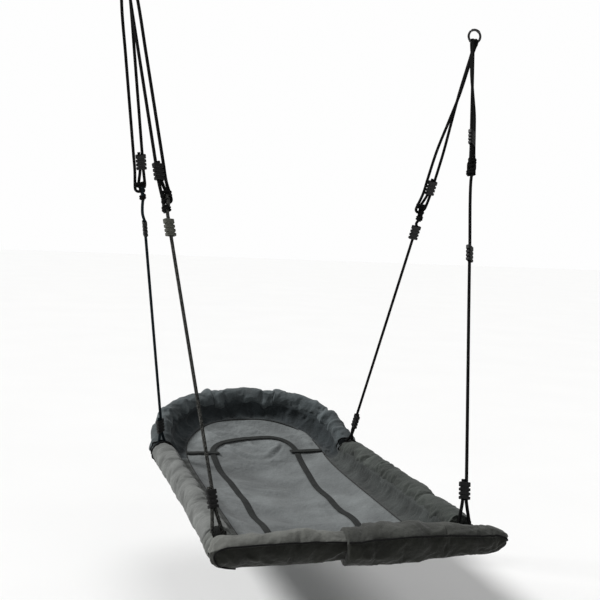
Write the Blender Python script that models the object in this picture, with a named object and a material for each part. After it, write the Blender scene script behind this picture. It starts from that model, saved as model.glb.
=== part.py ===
"""Platform swing seat: a padded tube frame with a fabric deck, hung on four adjustable ropes
from two snap rings. Metres, +Z up. The work is done in the seat's own frame (origin in the
middle of the near tube, X across, Y toward the head end) and moved at the end, so that the
origin of the file lies halfway between the two hang points."""

import math
from bisect import bisect

import bmesh
import bpy
from mathutils import Matrix, Vector

for old in list(bpy.data.objects):
    bpy.data.objects.remove(old)

# Frame
HALF_WIDTH = 0.360  # rail axes from the middle
RAIL_END = 1.141  # where the head end starts to rise
HEAD_RISE = math.radians(28.5)
HEAD_DEPTH = 0.304  # from the rail ends to the top of the head arc, in its own plane
HEAD_POWER = 2.3  # how square the head arc is
BEND = 0.050  # bend radius at the rail ends
CORNER = 0.060  # bend radius of the near tube
TUBE, BORE = 0.0125, 0.0112  # outer and inner radius
SPIGOT, SPIGOT_BORE, SPIGOT_LONG = 0.0105, 0.0092, 0.030
NEAR_JOINT, HEAD_JOINT, MIDDLE_JOINT = 0.110, 1.185, 0.150
PLAY = 0.0004  # between pieces that touch

# Padding
FOAM_BORE = 0.0155
SIDE_COVER, HEAD_COVER = 0.043, 0.042  # outer radii
CLOTH = 0.0014
LIP = 0.0165  # opening of a cover's closed end
SIDE_START, SIDE_END, HEAD_START = 0.088, 1.050, 1.135
HEAD_SPLIT = 0.130  # seams of the head cover, from the middle
NEAR_DROP = 0.006  # the near padding hangs a little under its tube
NEAR_LEFT, NEAR_RIGHT = -0.399, 0.463  # ends of the near covers
SLEEVE_START = -0.030  # the right near cover overlaps the left one from here

# Deck
SEAM_HALF, SEAM_START, SEAM_RISE, SEAM_POWER = 0.267, 1.100, 0.239, 2.4
DECK_START = 0.047
DECK_DROP = 0.042
SAG = 0.043
BAND_TUCK, BAND_UNDER = 0.006, 0.0447  # outer edge of the band, below the padding
BAND_THICK, PANEL_THICK, STRAP_THICK = 0.0015, 0.0016, 0.0012
PANEL_LAP, PANEL_LOWER = 0.004, 0.0046
STRAP_WIDE = 0.022
STRAP_HALF, STRAP_FLARE, STRAP_TOP = 0.148, 0.017, 1.244
CROSS_Y, CROSS_IN, CROSS_OUT, CROSS_LIFT = 1.140, 0.139, 0.300, 0.0028

# Ropes, seen from the rail upward
ROPE = 0.005
NEAR_TIE, FAR_TIE = 0.062, 1.110  # where the ropes hold the rails
LEFT_HANG = Vector((-0.6162, 0.6406, 1.7709))
RIGHT_HANG = Vector((0.5771, 0.6406, 1.5001))
EYE = 0.0105  # bend radius where two ropes link
LINK = 2 * ROPE + PLAY
STRAND = 0.0054  # strands in an adjuster, from its middle
OUTSIDE = 0.0230  # the strand that passes an adjuster
TAIL = 0.008

# Comb adjuster
COMB_TALL, COMB_CORE, COMB_CORE_THICK = 0.050, 0.0244, 0.0134
COMB_WIDE, COMB_THICK, COMB_PITCH, COMB_FIN, COMB_TOP_FIN = 0.034, 0.015, 0.0123, 0.0083, 0.0132
SLOT = 0.0058

# Snap ring and hitch
RING, WIRE = 0.0215, 0.0040
PIN_AT, MOUTH_AT = math.radians(45), math.radians(127)
MOUTH = (-0.0142, -0.0127)  # the upright gap between nose and gate, across from the ring's middle
HITCH_HALF, HITCH, HITCH_BORE = 0.0075, 0.0118, 0.0064

PLASTIC, CORD = (0.010, 0.010, 0.011), (0.012, 0.012, 0.013)
STEEL, ZINC = (0.62, 0.62, 0.61), (0.48, 0.48, 0.47)
FOAM = (0.16, 0.17, 0.17)
DARK, GREY, LIGHT, BLACK = (0.055, 0.058, 0.055), (0.12, 0.13, 0.13), (0.20, 0.205, 0.20), (0.02, 0.02, 0.02)


def smooth(x):
    x = max(0.0, min(1.0, x))
    return x * x * (3 - 2 * x)


def finish(obj, colour, roughness=0.8, metallic=0.0):
    material = bpy.data.materials.new(obj.name)
    material.use_nodes = True
    shader = material.node_tree.nodes["Principled BSDF"]
    shader.inputs["Base Color"].default_value = (*colour, 1)
    shader.inputs["Roughness"].default_value = roughness
    shader.inputs["Metallic"].default_value = metallic
    obj.data.materials.clear()
    obj.data.materials.append(material)
    return obj


def add(name, bm):
    bmesh.ops.recalc_face_normals(bm, faces=bm.faces)
    mesh = bpy.data.meshes.new(name)
    bm.to_mesh(mesh)
    bm.free()
    obj = bpy.data.objects.new(name, mesh)
    bpy.context.scene.collection.objects.link(obj)
    return obj


def combine(target, other, operation):
    """The Boolean of two objects, kept as a mesh; the second object goes."""
    modifier = target.modifiers.new("combine", "BOOLEAN")
    modifier.object, modifier.operation, modifier.solver = other, operation, "EXACT"
    bpy.context.view_layer.update()
    graph = bpy.context.evaluated_depsgraph_get()
    mesh = bpy.data.meshes.new_from_object(target.evaluated_get(graph))
    target.modifiers.clear()
    target.data = mesh
    bpy.data.objects.remove(other)
    return target


class Route:
    """A path through points, read by the distance along it, with frames that don't twist."""

    def __init__(self, points, up):
        self.points = [Vector(p) for p in points]
        steps = [b - a for a, b in zip(self.points, self.points[1:])]
        self.at = [0.0]
        for step in steps:
            self.at.append(self.at[-1] + step.length)
        self.length = self.at[-1]
        ways = [step.normalized() for step in steps]
        middles = [(a + b).normalized() for a, b in zip(ways, ways[1:])]
        self.ways = [ways[0], *middles, ways[-1]]
        self.ups, up = [], Vector(up)
        for way in self.ways:
            up = (up - way * up.dot(way)).normalized()
            self.ups.append(up)

    def frame(self, s):
        i = max(0, min(len(self.at) - 2, bisect(self.at, s) - 1))
        part = (s - self.at[i]) / (self.at[i + 1] - self.at[i])
        point = self.points[i] + (self.points[i + 1] - self.points[i]) * part
        part = max(0.0, min(1.0, part))
        way = self.ways[i].lerp(self.ways[i + 1], part).normalized()
        up = self.ups[i].lerp(self.ups[i + 1], part)
        up = (up - way * up.dot(way)).normalized()
        return point, way, up


def bends(route, s0, s1, margin=0.006):
    """Two ends and the route's own points between them, so that nested pieces bend alike."""
    return [s0, *(s for s in route.at if s0 + margin < s < s1 - margin), s1]


def turned(name, route, profile, sides, closed=True):
    """A profile of (distance along, radius) pairs turned round a route."""
    bm = bmesh.new()
    rings = []
    for s, r in profile:
        point, way, up = route.frame(s)
        side = way.cross(up)
        count = sides if r > 0 else 1
        turns = [2 * math.pi * (k + 0.5) / sides for k in range(count)]
        rings.append([bm.verts.new(point + (up * math.cos(a) + side * math.sin(a)) * r) for a in turns])
    for a, b in zip(rings, rings[1:] + (rings[:1] if closed else [])):
        for i in range(sides):
            j = (i + 1) % sides
            corners = [a[i % len(a)], a[j % len(a)], b[j % len(b)], b[i % len(b)]]
            bm.faces.new(list(dict.fromkeys(corners)))
    return add(name, bm)


def run(s0, s1, step):
    """Distances from s0 to s1, evenly, no further apart than step."""
    count = max(1, math.ceil(abs(s1 - s0) / step - 1e-6))
    return [s0 + (s1 - s0) * k / count for k in range(count + 1)]


def cylinder(name, start, end, radius, sides=12):
    route = Route([start, end], (end - start).orthogonal())
    return turned(name, route, [(0, 0), (0, radius), (route.length, radius), (route.length, 0)], sides, False)


# --- routes of the frame ---------------------------------------------------------------------


def head_point(turn):
    """A point of the head arc, from 0 at the right rail to pi at the left one."""
    power = 2 / HEAD_POWER
    x = HALF_WIDTH * math.copysign(abs(math.cos(turn)) ** power, math.cos(turn))
    v = HEAD_DEPTH * math.sin(turn) ** power
    return Vector((x, RAIL_END + v * math.cos(HEAD_RISE), v * math.sin(HEAD_RISE)))


def rim_points():
    """The frame's axis from the near end of the left rail, round the head, to the right one."""
    half = [Vector((-HALF_WIDTH, y, 0)) for y in (0.0, 0.6, 1.12)]
    reach = BEND * math.tan(HEAD_RISE / 2)
    for k in range(4):
        a = HEAD_RISE * k / 3
        y = RAIL_END - reach + BEND * math.sin(a)
        half.append(Vector((-HALF_WIDTH, y, BEND * (1 - math.cos(a)))))
    begin = math.asin((2.2 * reach / HEAD_DEPTH) ** (HEAD_POWER / 2))
    half += [head_point(math.pi - a) for a in run(begin, math.pi / 2, 0.17)]
    return half + [Vector((-p.x, p.y, p.z)) for p in reversed(half[:-1])]


def near_points(end):
    """The near tube's axis, from the left leg to the right one."""
    half = [Vector((-HALF_WIDTH, end, 0)), Vector((-HALF_WIDTH, CORNER + 0.002, 0))]
    for k in range(6):
        a = math.pi / 2 * k / 5
        half.append(Vector((-HALF_WIDTH + CORNER * (1 - math.cos(a)), CORNER * (1 - math.sin(a)), 0)))
    half.append(Vector((-HALF_WIDTH + CORNER + 0.004, 0, 0)))
    return half + [Vector((-p.x, p.y, p.z)) for p in reversed(half)]


RIM = Route(rim_points(), (0, 0, 1))
NEAR = Route(near_points(NEAR_JOINT), (0, 0, 1))


def at_x(x):
    """The distance along the rim where the head arc crosses a place across."""
    low, high = 1.3, RIM.length / 2
    for _ in range(40):
        middle = (low + high) / 2
        if RIM.frame(middle)[0].x < -abs(x):
            low = middle
        else:
            high = middle
    return low if x < 0 else RIM.length - low


def mirrored(s):
    return RIM.length - s


# --- tubes and screws ------------------------------------------------------------------------


def tube(name, route, s0, s1, spigots=(False, False)):
    """A hollow tube along a route, each end plain or drawn down into the next tube."""
    outer = [(s, TUBE) for s in bends(route, s0, s1)]
    inner = [(s, BORE) for s, _ in outer]
    if spigots[0]:
        thin = bends(route, s0 - SPIGOT_LONG, s0, 0.002)
        outer = [(s, SPIGOT) for s in thin] + outer
        inner = [(s, SPIGOT_BORE) for s in (*thin[:-1], s0 + 0.004)] + inner[1:]
    if spigots[1]:
        thin = bends(route, s1, s1 + SPIGOT_LONG, 0.002)
        outer += [(s, SPIGOT) for s in thin]
        inner = inner[:-1] + [(s, SPIGOT_BORE) for s in (s1 - 0.004, *thin[1:])]
    return finish(turned(name, route, outer + inner[::-1], 12), STEEL, 0.35, 1.0)


def screw(name, route, s, pieces):
    """A pan head screw from below through both walls of a joint, and its holes."""
    point, _, up = route.frame(s)
    for piece in pieces:
        hole = cylinder("hole", point - up * 0.006, point - up * (TUBE + 0.002), 0.0026)
        finish(combine(piece, hole, "DIFFERENCE"), STEEL, 0.35, 1.0)
    line = Route([point - up * 0.0062, point - up * 0.0150], (0, 1, 0))
    profile = [(0, 0), (0, 0.0021), (0.0067, 0.0021), (0.0067, 0.0045), (0.0080, 0.0043), (0.0086, 0.0025), (0.0086, 0)]
    return finish(turned(name, line, profile, 12, False), ZINC, 0.3, 1.0)


near_tube = tube("frame_near_tube", NEAR, 0, NEAR.length)
near_joint, far_joint, mid_joint = NEAR_JOINT + PLAY, HEAD_JOINT, at_x(-MIDDLE_JOINT)
left_rail = tube("frame_left_rail", RIM, near_joint, far_joint, (True, False))
right_rail = tube("frame_right_rail", RIM, mirrored(far_joint), mirrored(near_joint), (False, True))
head_left = tube("frame_head_left", RIM, far_joint + PLAY, mid_joint, (True, False))
head_right = tube("frame_head_right", RIM, mirrored(mid_joint), mirrored(far_joint + PLAY), (False, True))
head_middle = tube("frame_head_middle", RIM, mid_joint + PLAY, mirrored(mid_joint + PLAY), (True, True))
half = SPIGOT_LONG / 2
screw("screw_near_left", RIM, near_joint - half, (near_tube, left_rail))
screw("screw_near_right", RIM, mirrored(near_joint - half), (near_tube, right_rail))
screw("screw_far_left", RIM, far_joint - half, (left_rail, head_left))
screw("screw_far_right", RIM, mirrored(far_joint - half), (right_rail, head_right))
screw("screw_head_left", RIM, mid_joint - half, (head_left, head_middle))
screw("screw_head_right", RIM, mirrored(mid_joint - half), (head_right, head_middle))

# --- foam and covers -------------------------------------------------------------------------


def sleeve(name, s0, s1, radius):
    """A foam sleeve with eased ends."""
    middle = bends(RIM, s0 + 0.008, s1 - 0.008)
    outer = [(s0, radius - 0.008), *((s, radius) for s in middle), (s1, radius - 0.008)]
    inner = [(s, FOAM_BORE) for s in reversed(bends(RIM, s0, s1))]
    return finish(turned(name, RIM, outer + inner, 12), FOAM, 0.95)


def cover(name, s0, s1, radius, shut, colour):
    """A fabric cover, shut round the tube at the ends that say so."""
    ends = [(s0, 1, shut[0]), (s1, -1, shut[1])]
    rounds = []
    for s, way, closed in ends:
        ease = 0.007
        if closed:
            edge = [(s, LIP), (s, radius - ease), (s + way * 0.3 * ease, radius - 0.3 * ease)]
            back = [(s + way * CLOTH, LIP), (s + way * CLOTH, radius - ease - 0.3 * CLOTH)]
            rounds.append((edge, back, s + way * ease))
        else:
            rounds.append(([], [], s))
    stations = bends(RIM, rounds[0][2], rounds[1][2])
    outer = rounds[0][0] + [(s, radius) for s in stations] + rounds[1][0][::-1]
    inner = rounds[1][1] + [(s, radius - CLOTH) for s in stations[::-1]] + rounds[0][1][::-1]
    return finish(turned(name, RIM, outer + inner, 20), colour, 0.9)


FOAM_SIDE, FOAM_HEAD = SIDE_COVER - CLOTH - 0.0012, HEAD_COVER - CLOTH - 0.0012
sleeve("foam_left", SIDE_START + 0.002, SIDE_END - 0.002, FOAM_SIDE)
sleeve("foam_right", mirrored(SIDE_END - 0.002), mirrored(SIDE_START + 0.002), FOAM_SIDE)
split = at_x(-HEAD_SPLIT)
sleeve("foam_head_left", HEAD_START + 0.002, split - 0.001, FOAM_HEAD)
sleeve("foam_head_middle", split + 0.001, mirrored(split + 0.001), FOAM_HEAD)
sleeve("foam_head_right", mirrored(split - 0.001), mirrored(HEAD_START + 0.002), FOAM_HEAD)

cover("cover_left", SIDE_START, SIDE_END, SIDE_COVER, (True, True), DARK)
cover("cover_right", mirrored(SIDE_END), mirrored(SIDE_START), SIDE_COVER, (True, True), DARK)
cover("cover_head_left", HEAD_START, split - PLAY, HEAD_COVER, (True, False), DARK)
cover("cover_head_middle", split + PLAY, mirrored(split + PLAY), HEAD_COVER, (False, False), DARK)
cover("cover_head_right", mirrored(split - PLAY), mirrored(HEAD_START), HEAD_COVER, (False, True), DARK)

ACROSS = Route([(NEAR_LEFT, 0, -NEAR_DROP), (NEAR_RIGHT, 0, -NEAR_DROP)], (0, 0, 1))
SLEEVE_AT = SLEEVE_START - NEAR_LEFT


def round_end(s, length, radius, reach):
    """How a radius closes toward both ends of a length."""
    near_end = min(s, length - s)
    if near_end >= reach:
        return radius
    part = 1 - near_end / reach
    return radius * math.sqrt(max(0.0, 1 - part**2.6))


def left_radius(s):
    return round_end(s, 10, 0.0425 + 0.0015 * smooth(s / 0.30), 0.026)


def right_radius(s):
    x = s + NEAR_LEFT
    swell = 0.047 + 0.008 * smooth((0.26 - x) / 0.12) - 0.003 * smooth((0.06 - x) / 0.09)
    swell -= 0.010 * smooth((x - 0.25) / 0.15)
    return round_end(s, ACROSS.length, swell, 0.075)


def bag(name, stations, radius, colour):
    """A near cover: a bag of cloth, shut at its tip and open where the stations start."""
    thin = CLOTH + 0.0001
    outer = [(s, radius(s)) for s in stations]
    inner = [(s, r - thin) for s, r in outer[:-1] if r > 0.006]
    tip = stations[-1]
    way = math.copysign(thin, stations[0] - tip)
    profile = [(tip, 0), *outer[:-1][::-1], *inner, (tip + way, 0)]
    return finish(turned(name, ACROSS, profile, 18, False), colour, 0.9)


left_ends = [SLEEVE_AT + 0.090, 0.28, 0.15, 0.026, 0.016, 0.009, 0.004, 0.0012, 0.0]
long_run = ACROSS.length
right_ends = [SLEEVE_AT, SLEEVE_AT + 0.05, SLEEVE_AT + 0.17, SLEEVE_AT + 0.28, SLEEVE_AT + 0.34]
right_ends += [long_run - d for d in (0.080, 0.050, 0.025, 0.010, 0.002, 0.0)]
cover_near_left = bag("cover_near_left", left_ends, left_radius, GREY)
cover_near_right = bag("cover_near_right", right_ends, right_radius, DARK)


def channel(radius):
    """The room that the near tube takes up, at a given radius."""
    return turned("channel", NEAR, [(0, 0), *((s, radius) for s in NEAR.at), (NEAR.length, 0)], 16, False)


for obj, colour in ((cover_near_left, GREY), (cover_near_right, DARK)):
    finish(combine(obj, channel(LIP), "DIFFERENCE"), colour, 0.9)

foam_ends = [0.010, 0.014, 0.024, 0.034, 0.30, 0.62, 0.70, 0.745, 0.772, 0.785]
foam_radii = [min(left_radius(s) if s < 0.3 else right_radius(s), 0.0425) - 0.0028 for s in foam_ends]
foam_radii[0], foam_radii[-1] = foam_radii[0] - 0.002, foam_radii[-1] - 0.006
profile = [(foam_ends[0], 0), *zip(foam_ends, foam_radii), (foam_ends[-1], 0)]
foam_near = turned("foam_near", ACROSS, profile, 20, False)
finish(combine(foam_near, channel(FOAM_BORE), "DIFFERENCE"), FOAM, 0.95)

# --- deck ------------------------------------------------------------------------------------


def deck(x, y):
    """Height of the deck: level over the rails, rising with the head, sagging in the middle."""
    rise = math.tan(HEAD_RISE) * (y - RAIL_END) / 2
    fold = rise + math.hypot(rise, 0.03)
    sag = SAG * max(0.0, 1 - (x / SEAM_HALF) ** 2) * smooth(y / 0.3) * smooth((1.36 - y) / 0.6)
    return fold - DECK_DROP - sag


def slab(name, rows, thick, colour):
    """A sheet between an upper and a lower copy of a grid of points."""
    bm = bmesh.new()
    lift = Vector((0, 0, thick / 2))
    top = [[bm.verts.new(p + lift) for p in row] for row in rows]
    low = [[bm.verts.new(p - lift) for p in row] for row in rows]
    high, wide = len(rows), len(rows[0])
    for i in range(high - 1):
        for j in range(wide - 1):
            bm.faces.new([top[i][j], top[i][j + 1], top[i + 1][j + 1], top[i + 1][j]])
            bm.faces.new([low[i][j], low[i + 1][j], low[i + 1][j + 1], low[i][j + 1]])
    border = [(0, j) for j in range(wide - 1)] + [(i, wide - 1) for i in range(high - 1)]
    border += [(high - 1, j) for j in range(wide - 1, 0, -1)] + [(i, 0) for i in range(high - 1, 0, -1)]
    for (i, j), (k, m) in zip(border, border[1:] + border[:1]):
        bm.faces.new([top[i][j], low[i][j], low[k][m], top[k][m]])
    return finish(add(name, bm), colour, 0.9)


def seam_point(turn, grow=0.0):
    power = 2 / SEAM_POWER
    x = (SEAM_HALF + grow) * math.copysign(abs(math.cos(turn)) ** power, math.cos(turn))
    return Vector((x, SEAM_START + (SEAM_RISE + grow) * math.sin(turn) ** power, 0))


def on_deck(x, y, lift=0.0):
    return Vector((x, y, deck(x, y) + lift))


levels = [DECK_START, 0.12, 0.20, 0.30, 0.42, 0.56, 0.70, 0.82, 0.92, 0.99, 1.03, 1.07]
arcs = [0.0, 0.10, 0.20, 0.32, 0.44, 0.56, 0.70, 0.86, 1.08, 1.45]
edge = [Vector((SEAM_HALF + PANEL_LAP, y, 0)) for y in levels] + [seam_point(a, PANEL_LAP) for a in arcs]
panel_rows = [[on_deck(p.x * k / 6, p.y, -PANEL_LOWER) for k in range(-6, 7)] for p in edge]
slab("seat_panel", panel_rows, PANEL_THICK, LIGHT)


def seam_by(point):
    """The seam's point across the band from a point of the rim."""
    v = math.hypot(point.y - RAIL_END, point.z) if point.y > RAIL_END else 0.0
    if v < 0.012:
        return Vector((math.copysign(SEAM_HALF, point.x), min(point.y, RAIL_END) * SEAM_START / RAIL_END, 0))
    power = HEAD_POWER / 2
    turn = math.atan2((v / HEAD_DEPTH) ** power, (abs(point.x) / HALF_WIDTH) ** power)
    return seam_point(turn if point.x > 0 else math.pi - turn)


def band_rows():
    rows = []
    places = [DECK_START + 0.005, 0.30, 0.60, 0.90, 1.04, 1.124, 1.133, 1.142, 1.155, 1.17, 1.19, 1.22]
    for s in places + run(1.26, RIM.length / 2, 0.055):
        point, way, up = RIM.frame(s)
        outer = point + way.cross(up).normalized() * BAND_TUCK - up * BAND_UNDER
        seam = seam_by(point)
        inner = on_deck(seam.x, seam.y)
        rows.append([outer.lerp(inner, k / 2) for k in range(3)])
    return rows + [[Vector((-p.x, p.y, p.z)) for p in row] for row in reversed(rows[:-1])]


slab("border_band", band_rows(), BAND_THICK, DARK)


def strap_middle():
    """The middle line of the long strap, up one leg, round the top and down the other."""
    half = [Vector((-STRAP_HALF - STRAP_FLARE * smooth((y - 0.75) / 0.35), y, 0)) for y in levels if 0.1 < y < 1.08]
    wide, tall = STRAP_HALF + STRAP_FLARE, STRAP_TOP - 1.125
    for a in run(0.0, math.pi / 2, 0.26):
        half.append(Vector((-wide * math.cos(a) ** 0.9, 1.125 + tall * math.sin(a) ** 0.9, 0)))
    return half + [Vector((-p.x, p.y, p.z)) for p in reversed(half[:-1])]


def strap(name, middle, lift, colour):
    """A flat strap along a line over the deck."""
    rows = []
    for i, p in enumerate(middle):
        way = middle[min(i + 1, len(middle) - 1)] - middle[max(i - 1, 0)]
        side = Vector((-way.y, way.x, 0)).normalized() * STRAP_WIDE / 2
        rows.append([on_deck(q.x, q.y, lift) for q in (p + side, p, p - side)])
    return slab(name, rows, STRAP_THICK, colour)


strap("panel_strap", strap_middle(), -0.0008, BLACK)
for side, name in ((-1, "cross_strap_left"), (1, "cross_strap_right")):
    strap(name, [Vector((side * x, CROSS_Y, 0)) for x in run(CROSS_IN, CROSS_OUT, 0.03)], CROSS_LIFT, BLACK)

# --- snap rings and hitches ------------------------------------------------------------------


def arc_plate(name, centre, start, end, half, y0, y1):
    """A flat link along the ring, from one angle to a round end on the pin."""
    outline = [(RING - half, a) for a in run(start, end, 0.1)]
    points = [Vector((r * math.cos(a), 0, r * math.sin(a))) for r, a in outline]
    pin = Vector((RING * math.cos(end), 0, RING * math.sin(end)))
    way = 1 if end > start else -1
    for k in range(1, 7):
        a = end + math.pi - way * math.pi * k / 7
        points.append(pin + Vector((half * math.cos(a), 0, half * math.sin(a))))
    points += [Vector(((RING + half) * math.cos(a), 0, (RING + half) * math.sin(a))) for a in run(end, start, 0.1)]
    bm = bmesh.new()
    front = [bm.verts.new(centre + p + Vector((0, y0, 0))) for p in points]
    back = [bm.verts.new(centre + p + Vector((0, y1, 0))) for p in points]
    bm.faces.new(front)
    bm.faces.new(back[::-1])
    for i in range(len(points)):
        j = (i + 1) % len(points)
        bm.faces.new([front[i], back[i], back[j], front[j]])
    return add(name, bm)


def wire_arc(name, centre, start, end, radius, sides=10):
    points = [centre + Vector((RING * math.cos(a), 0, RING * math.sin(a))) for a in run(start, end, 0.24)]
    route = Route(points, (0, 1, 0))
    ease = 0.0008
    profile = [(0, 0), (0, radius - ease), (ease, radius), *((s, radius) for s in route.at[1:-1])]
    profile += [(route.length - ease, radius), (route.length, radius - ease), (route.length, 0)]
    return turned(name, route, profile, sides, False)


def block(name, low, high):
    bm = bmesh.new()
    bmesh.ops.create_cube(bm, size=1, matrix=Matrix.LocRotScale((low + high) / 2, None, high - low))
    return add(name, bm)


def snap_ring(side, hang):
    """Ring body, sprung gate and pin, with the bottom of the wire at the hang point. Nose and
    gate end in upright faces, which slide past each other as the gate drops inward."""
    centre = hang + Vector((0, 0, RING))
    pin = centre + Vector((RING * math.cos(PIN_AT), 0, RING * math.sin(PIN_AT)))
    body = wire_arc(side + "_ring_body", centre, MOUTH_AT - 0.10, 2 * math.pi + math.radians(29), WIRE)
    beyond = block("beyond", centre + Vector((MOUTH[0], -0.01, 0.006)), centre + Vector((0.002, 0.01, 0.030)))
    body = combine(body, beyond, "DIFFERENCE")
    tongue = arc_plate("tongue", centre, math.radians(24), PIN_AT, 0.0037, -0.0016, 0.0016)
    body = combine(body, tongue, "UNION")
    gate = wire_arc(side + "_ring_gate", centre, math.radians(58.5), MOUTH_AT + 0.16, WIRE + 0.0003)
    beyond = block("beyond", centre + Vector((-0.032, -0.01, 0.004)), centre + Vector((MOUTH[1], 0.01, 0.032)))
    gate = combine(gate, beyond, "DIFFERENCE")
    for y0, y1 in ((-0.0040, -0.0021), (0.0021, 0.0040)):
        ear = arc_plate("ear", centre, math.radians(65), PIN_AT, 0.0036, y0, y1)
        gate = combine(gate, ear, "UNION")
    for piece in (body, gate):
        hole = cylinder("hole", pin - Vector((0, 0.008, 0)), pin + Vector((0, 0.008, 0)), 0.0014)
        finish(combine(piece, hole, "DIFFERENCE"), STEEL, 0.2, 1.0)
    rod = cylinder(side + "_ring_pin", pin - Vector((0, 0.0044, 0)), pin + Vector((0, 0.0044, 0)), 0.0010)
    finish(rod, ZINC, 0.25, 1.0)


def ring_hitch(side, hang):
    """The turns of rope round the bottom of a ring, on the line through both hang points."""
    axis = (RIGHT_HANG - LEFT_HANG).normalized()
    route = Route([hang - axis * HITCH_HALF, hang + axis * HITCH_HALF], (0, 1, 0))
    stations = run(-1, 1, 0.5)
    outer = [(HITCH_HALF * (1 + k), HITCH - 0.0006 * k**4) for k in stations]
    inner = [(HITCH_HALF * (1 + k), HITCH_BORE + 0.0029 * abs(k) ** 1.3) for k in stations[::-1]]
    return finish(turned(side + "_ring_hitch", route, outer + inner, 14), CORD, 0.8)


for side, hang in (("left", LEFT_HANG), ("right", RIGHT_HANG)):
    snap_ring(side, hang)
    ring_hitch(side, hang)

# --- ropes and comb adjusters ----------------------------------------------------------------


def cord(name, points):
    curve = bpy.data.curves.new(name, "CURVE")
    curve.dimensions = "3D"
    spline = curve.splines.new("POLY")
    spline.points.add(len(points) - 1)
    for place, point in zip(spline.points, points):
        place.co = (*point, 1)
    curve.bevel_depth = ROPE
    curve.bevel_resolution = 2
    curve.use_fill_caps = True
    obj = bpy.data.objects.new(name, curve)
    bpy.context.scene.collection.objects.link(obj)
    return finish(obj, CORD, 0.8)


def rounded_block(half_wide, half_thick, ease):
    """Ten corners of an eased rectangle, matched to those of the slot."""
    a, b, c = half_wide, half_thick, ease
    top = [(a, b - c), (a - c, b), (c - a, b), (-a, b - c)]
    return [(a, 0), *top, (-a, 0), *((-x, -y) for x, y in top)]


def slot_outline():
    ends = [(STRAND + SLOT * math.cos(a), SLOT * math.sin(a)) for a in run(0, math.pi / 2, math.pi / 4)]
    top = ends[1:] + [(-x, y) for x, y in reversed(ends[1:])]
    return [ends[0], *top, (-ends[0][0], 0), *((-x, -y) for x, y in top)]


def adjuster(name, centre, up, across):
    """A comb adjuster: four fins on a core with a slot for two strands."""
    through = up.cross(across)
    core, fin = (COMB_CORE / 2, COMB_CORE_THICK / 2, 0.0022), (COMB_WIDE / 2, COMB_THICK / 2, 0.0035)
    levels, top = [], COMB_TALL / 2
    low = top - COMB_TOP_FIN
    levels += [(top, fin), (low, fin), (low, core)]
    for k in range(3):
        high = low - (COMB_PITCH - COMB_FIN) - k * COMB_PITCH
        levels += [(high, core), (high, fin), (high - COMB_FIN, fin)]
        if k < 2:
            levels.append((high - COMB_FIN, core))
    bm = bmesh.new()

    def loop(outline, level):
        return [bm.verts.new(centre + across * x + through * y + up * level) for x, y in outline]

    outer = [loop(rounded_block(*size), level) for level, size in levels]
    inner = [loop(slot_outline(), levels[0][0]), loop(slot_outline(), levels[-1][0])]
    rings = outer + inner[::-1]
    for a, b in zip(rings, rings[1:] + rings[:1]):
        for i in range(len(a)):
            j = (i + 1) % len(a)
            bm.faces.new([a[i], a[j], b[j], b[i]])
    return finish(add(name, bm), PLASTIC, 0.45)


def bend(middle, radius, start, end, count):
    """(distance up, distance across) pairs round a bend in the plane of the ropes."""
    angles = [start + (end - start) * k / count for k in range(count + 1)]
    return [(middle + radius * math.sin(a), radius * math.cos(a)) for a in angles]


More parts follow.
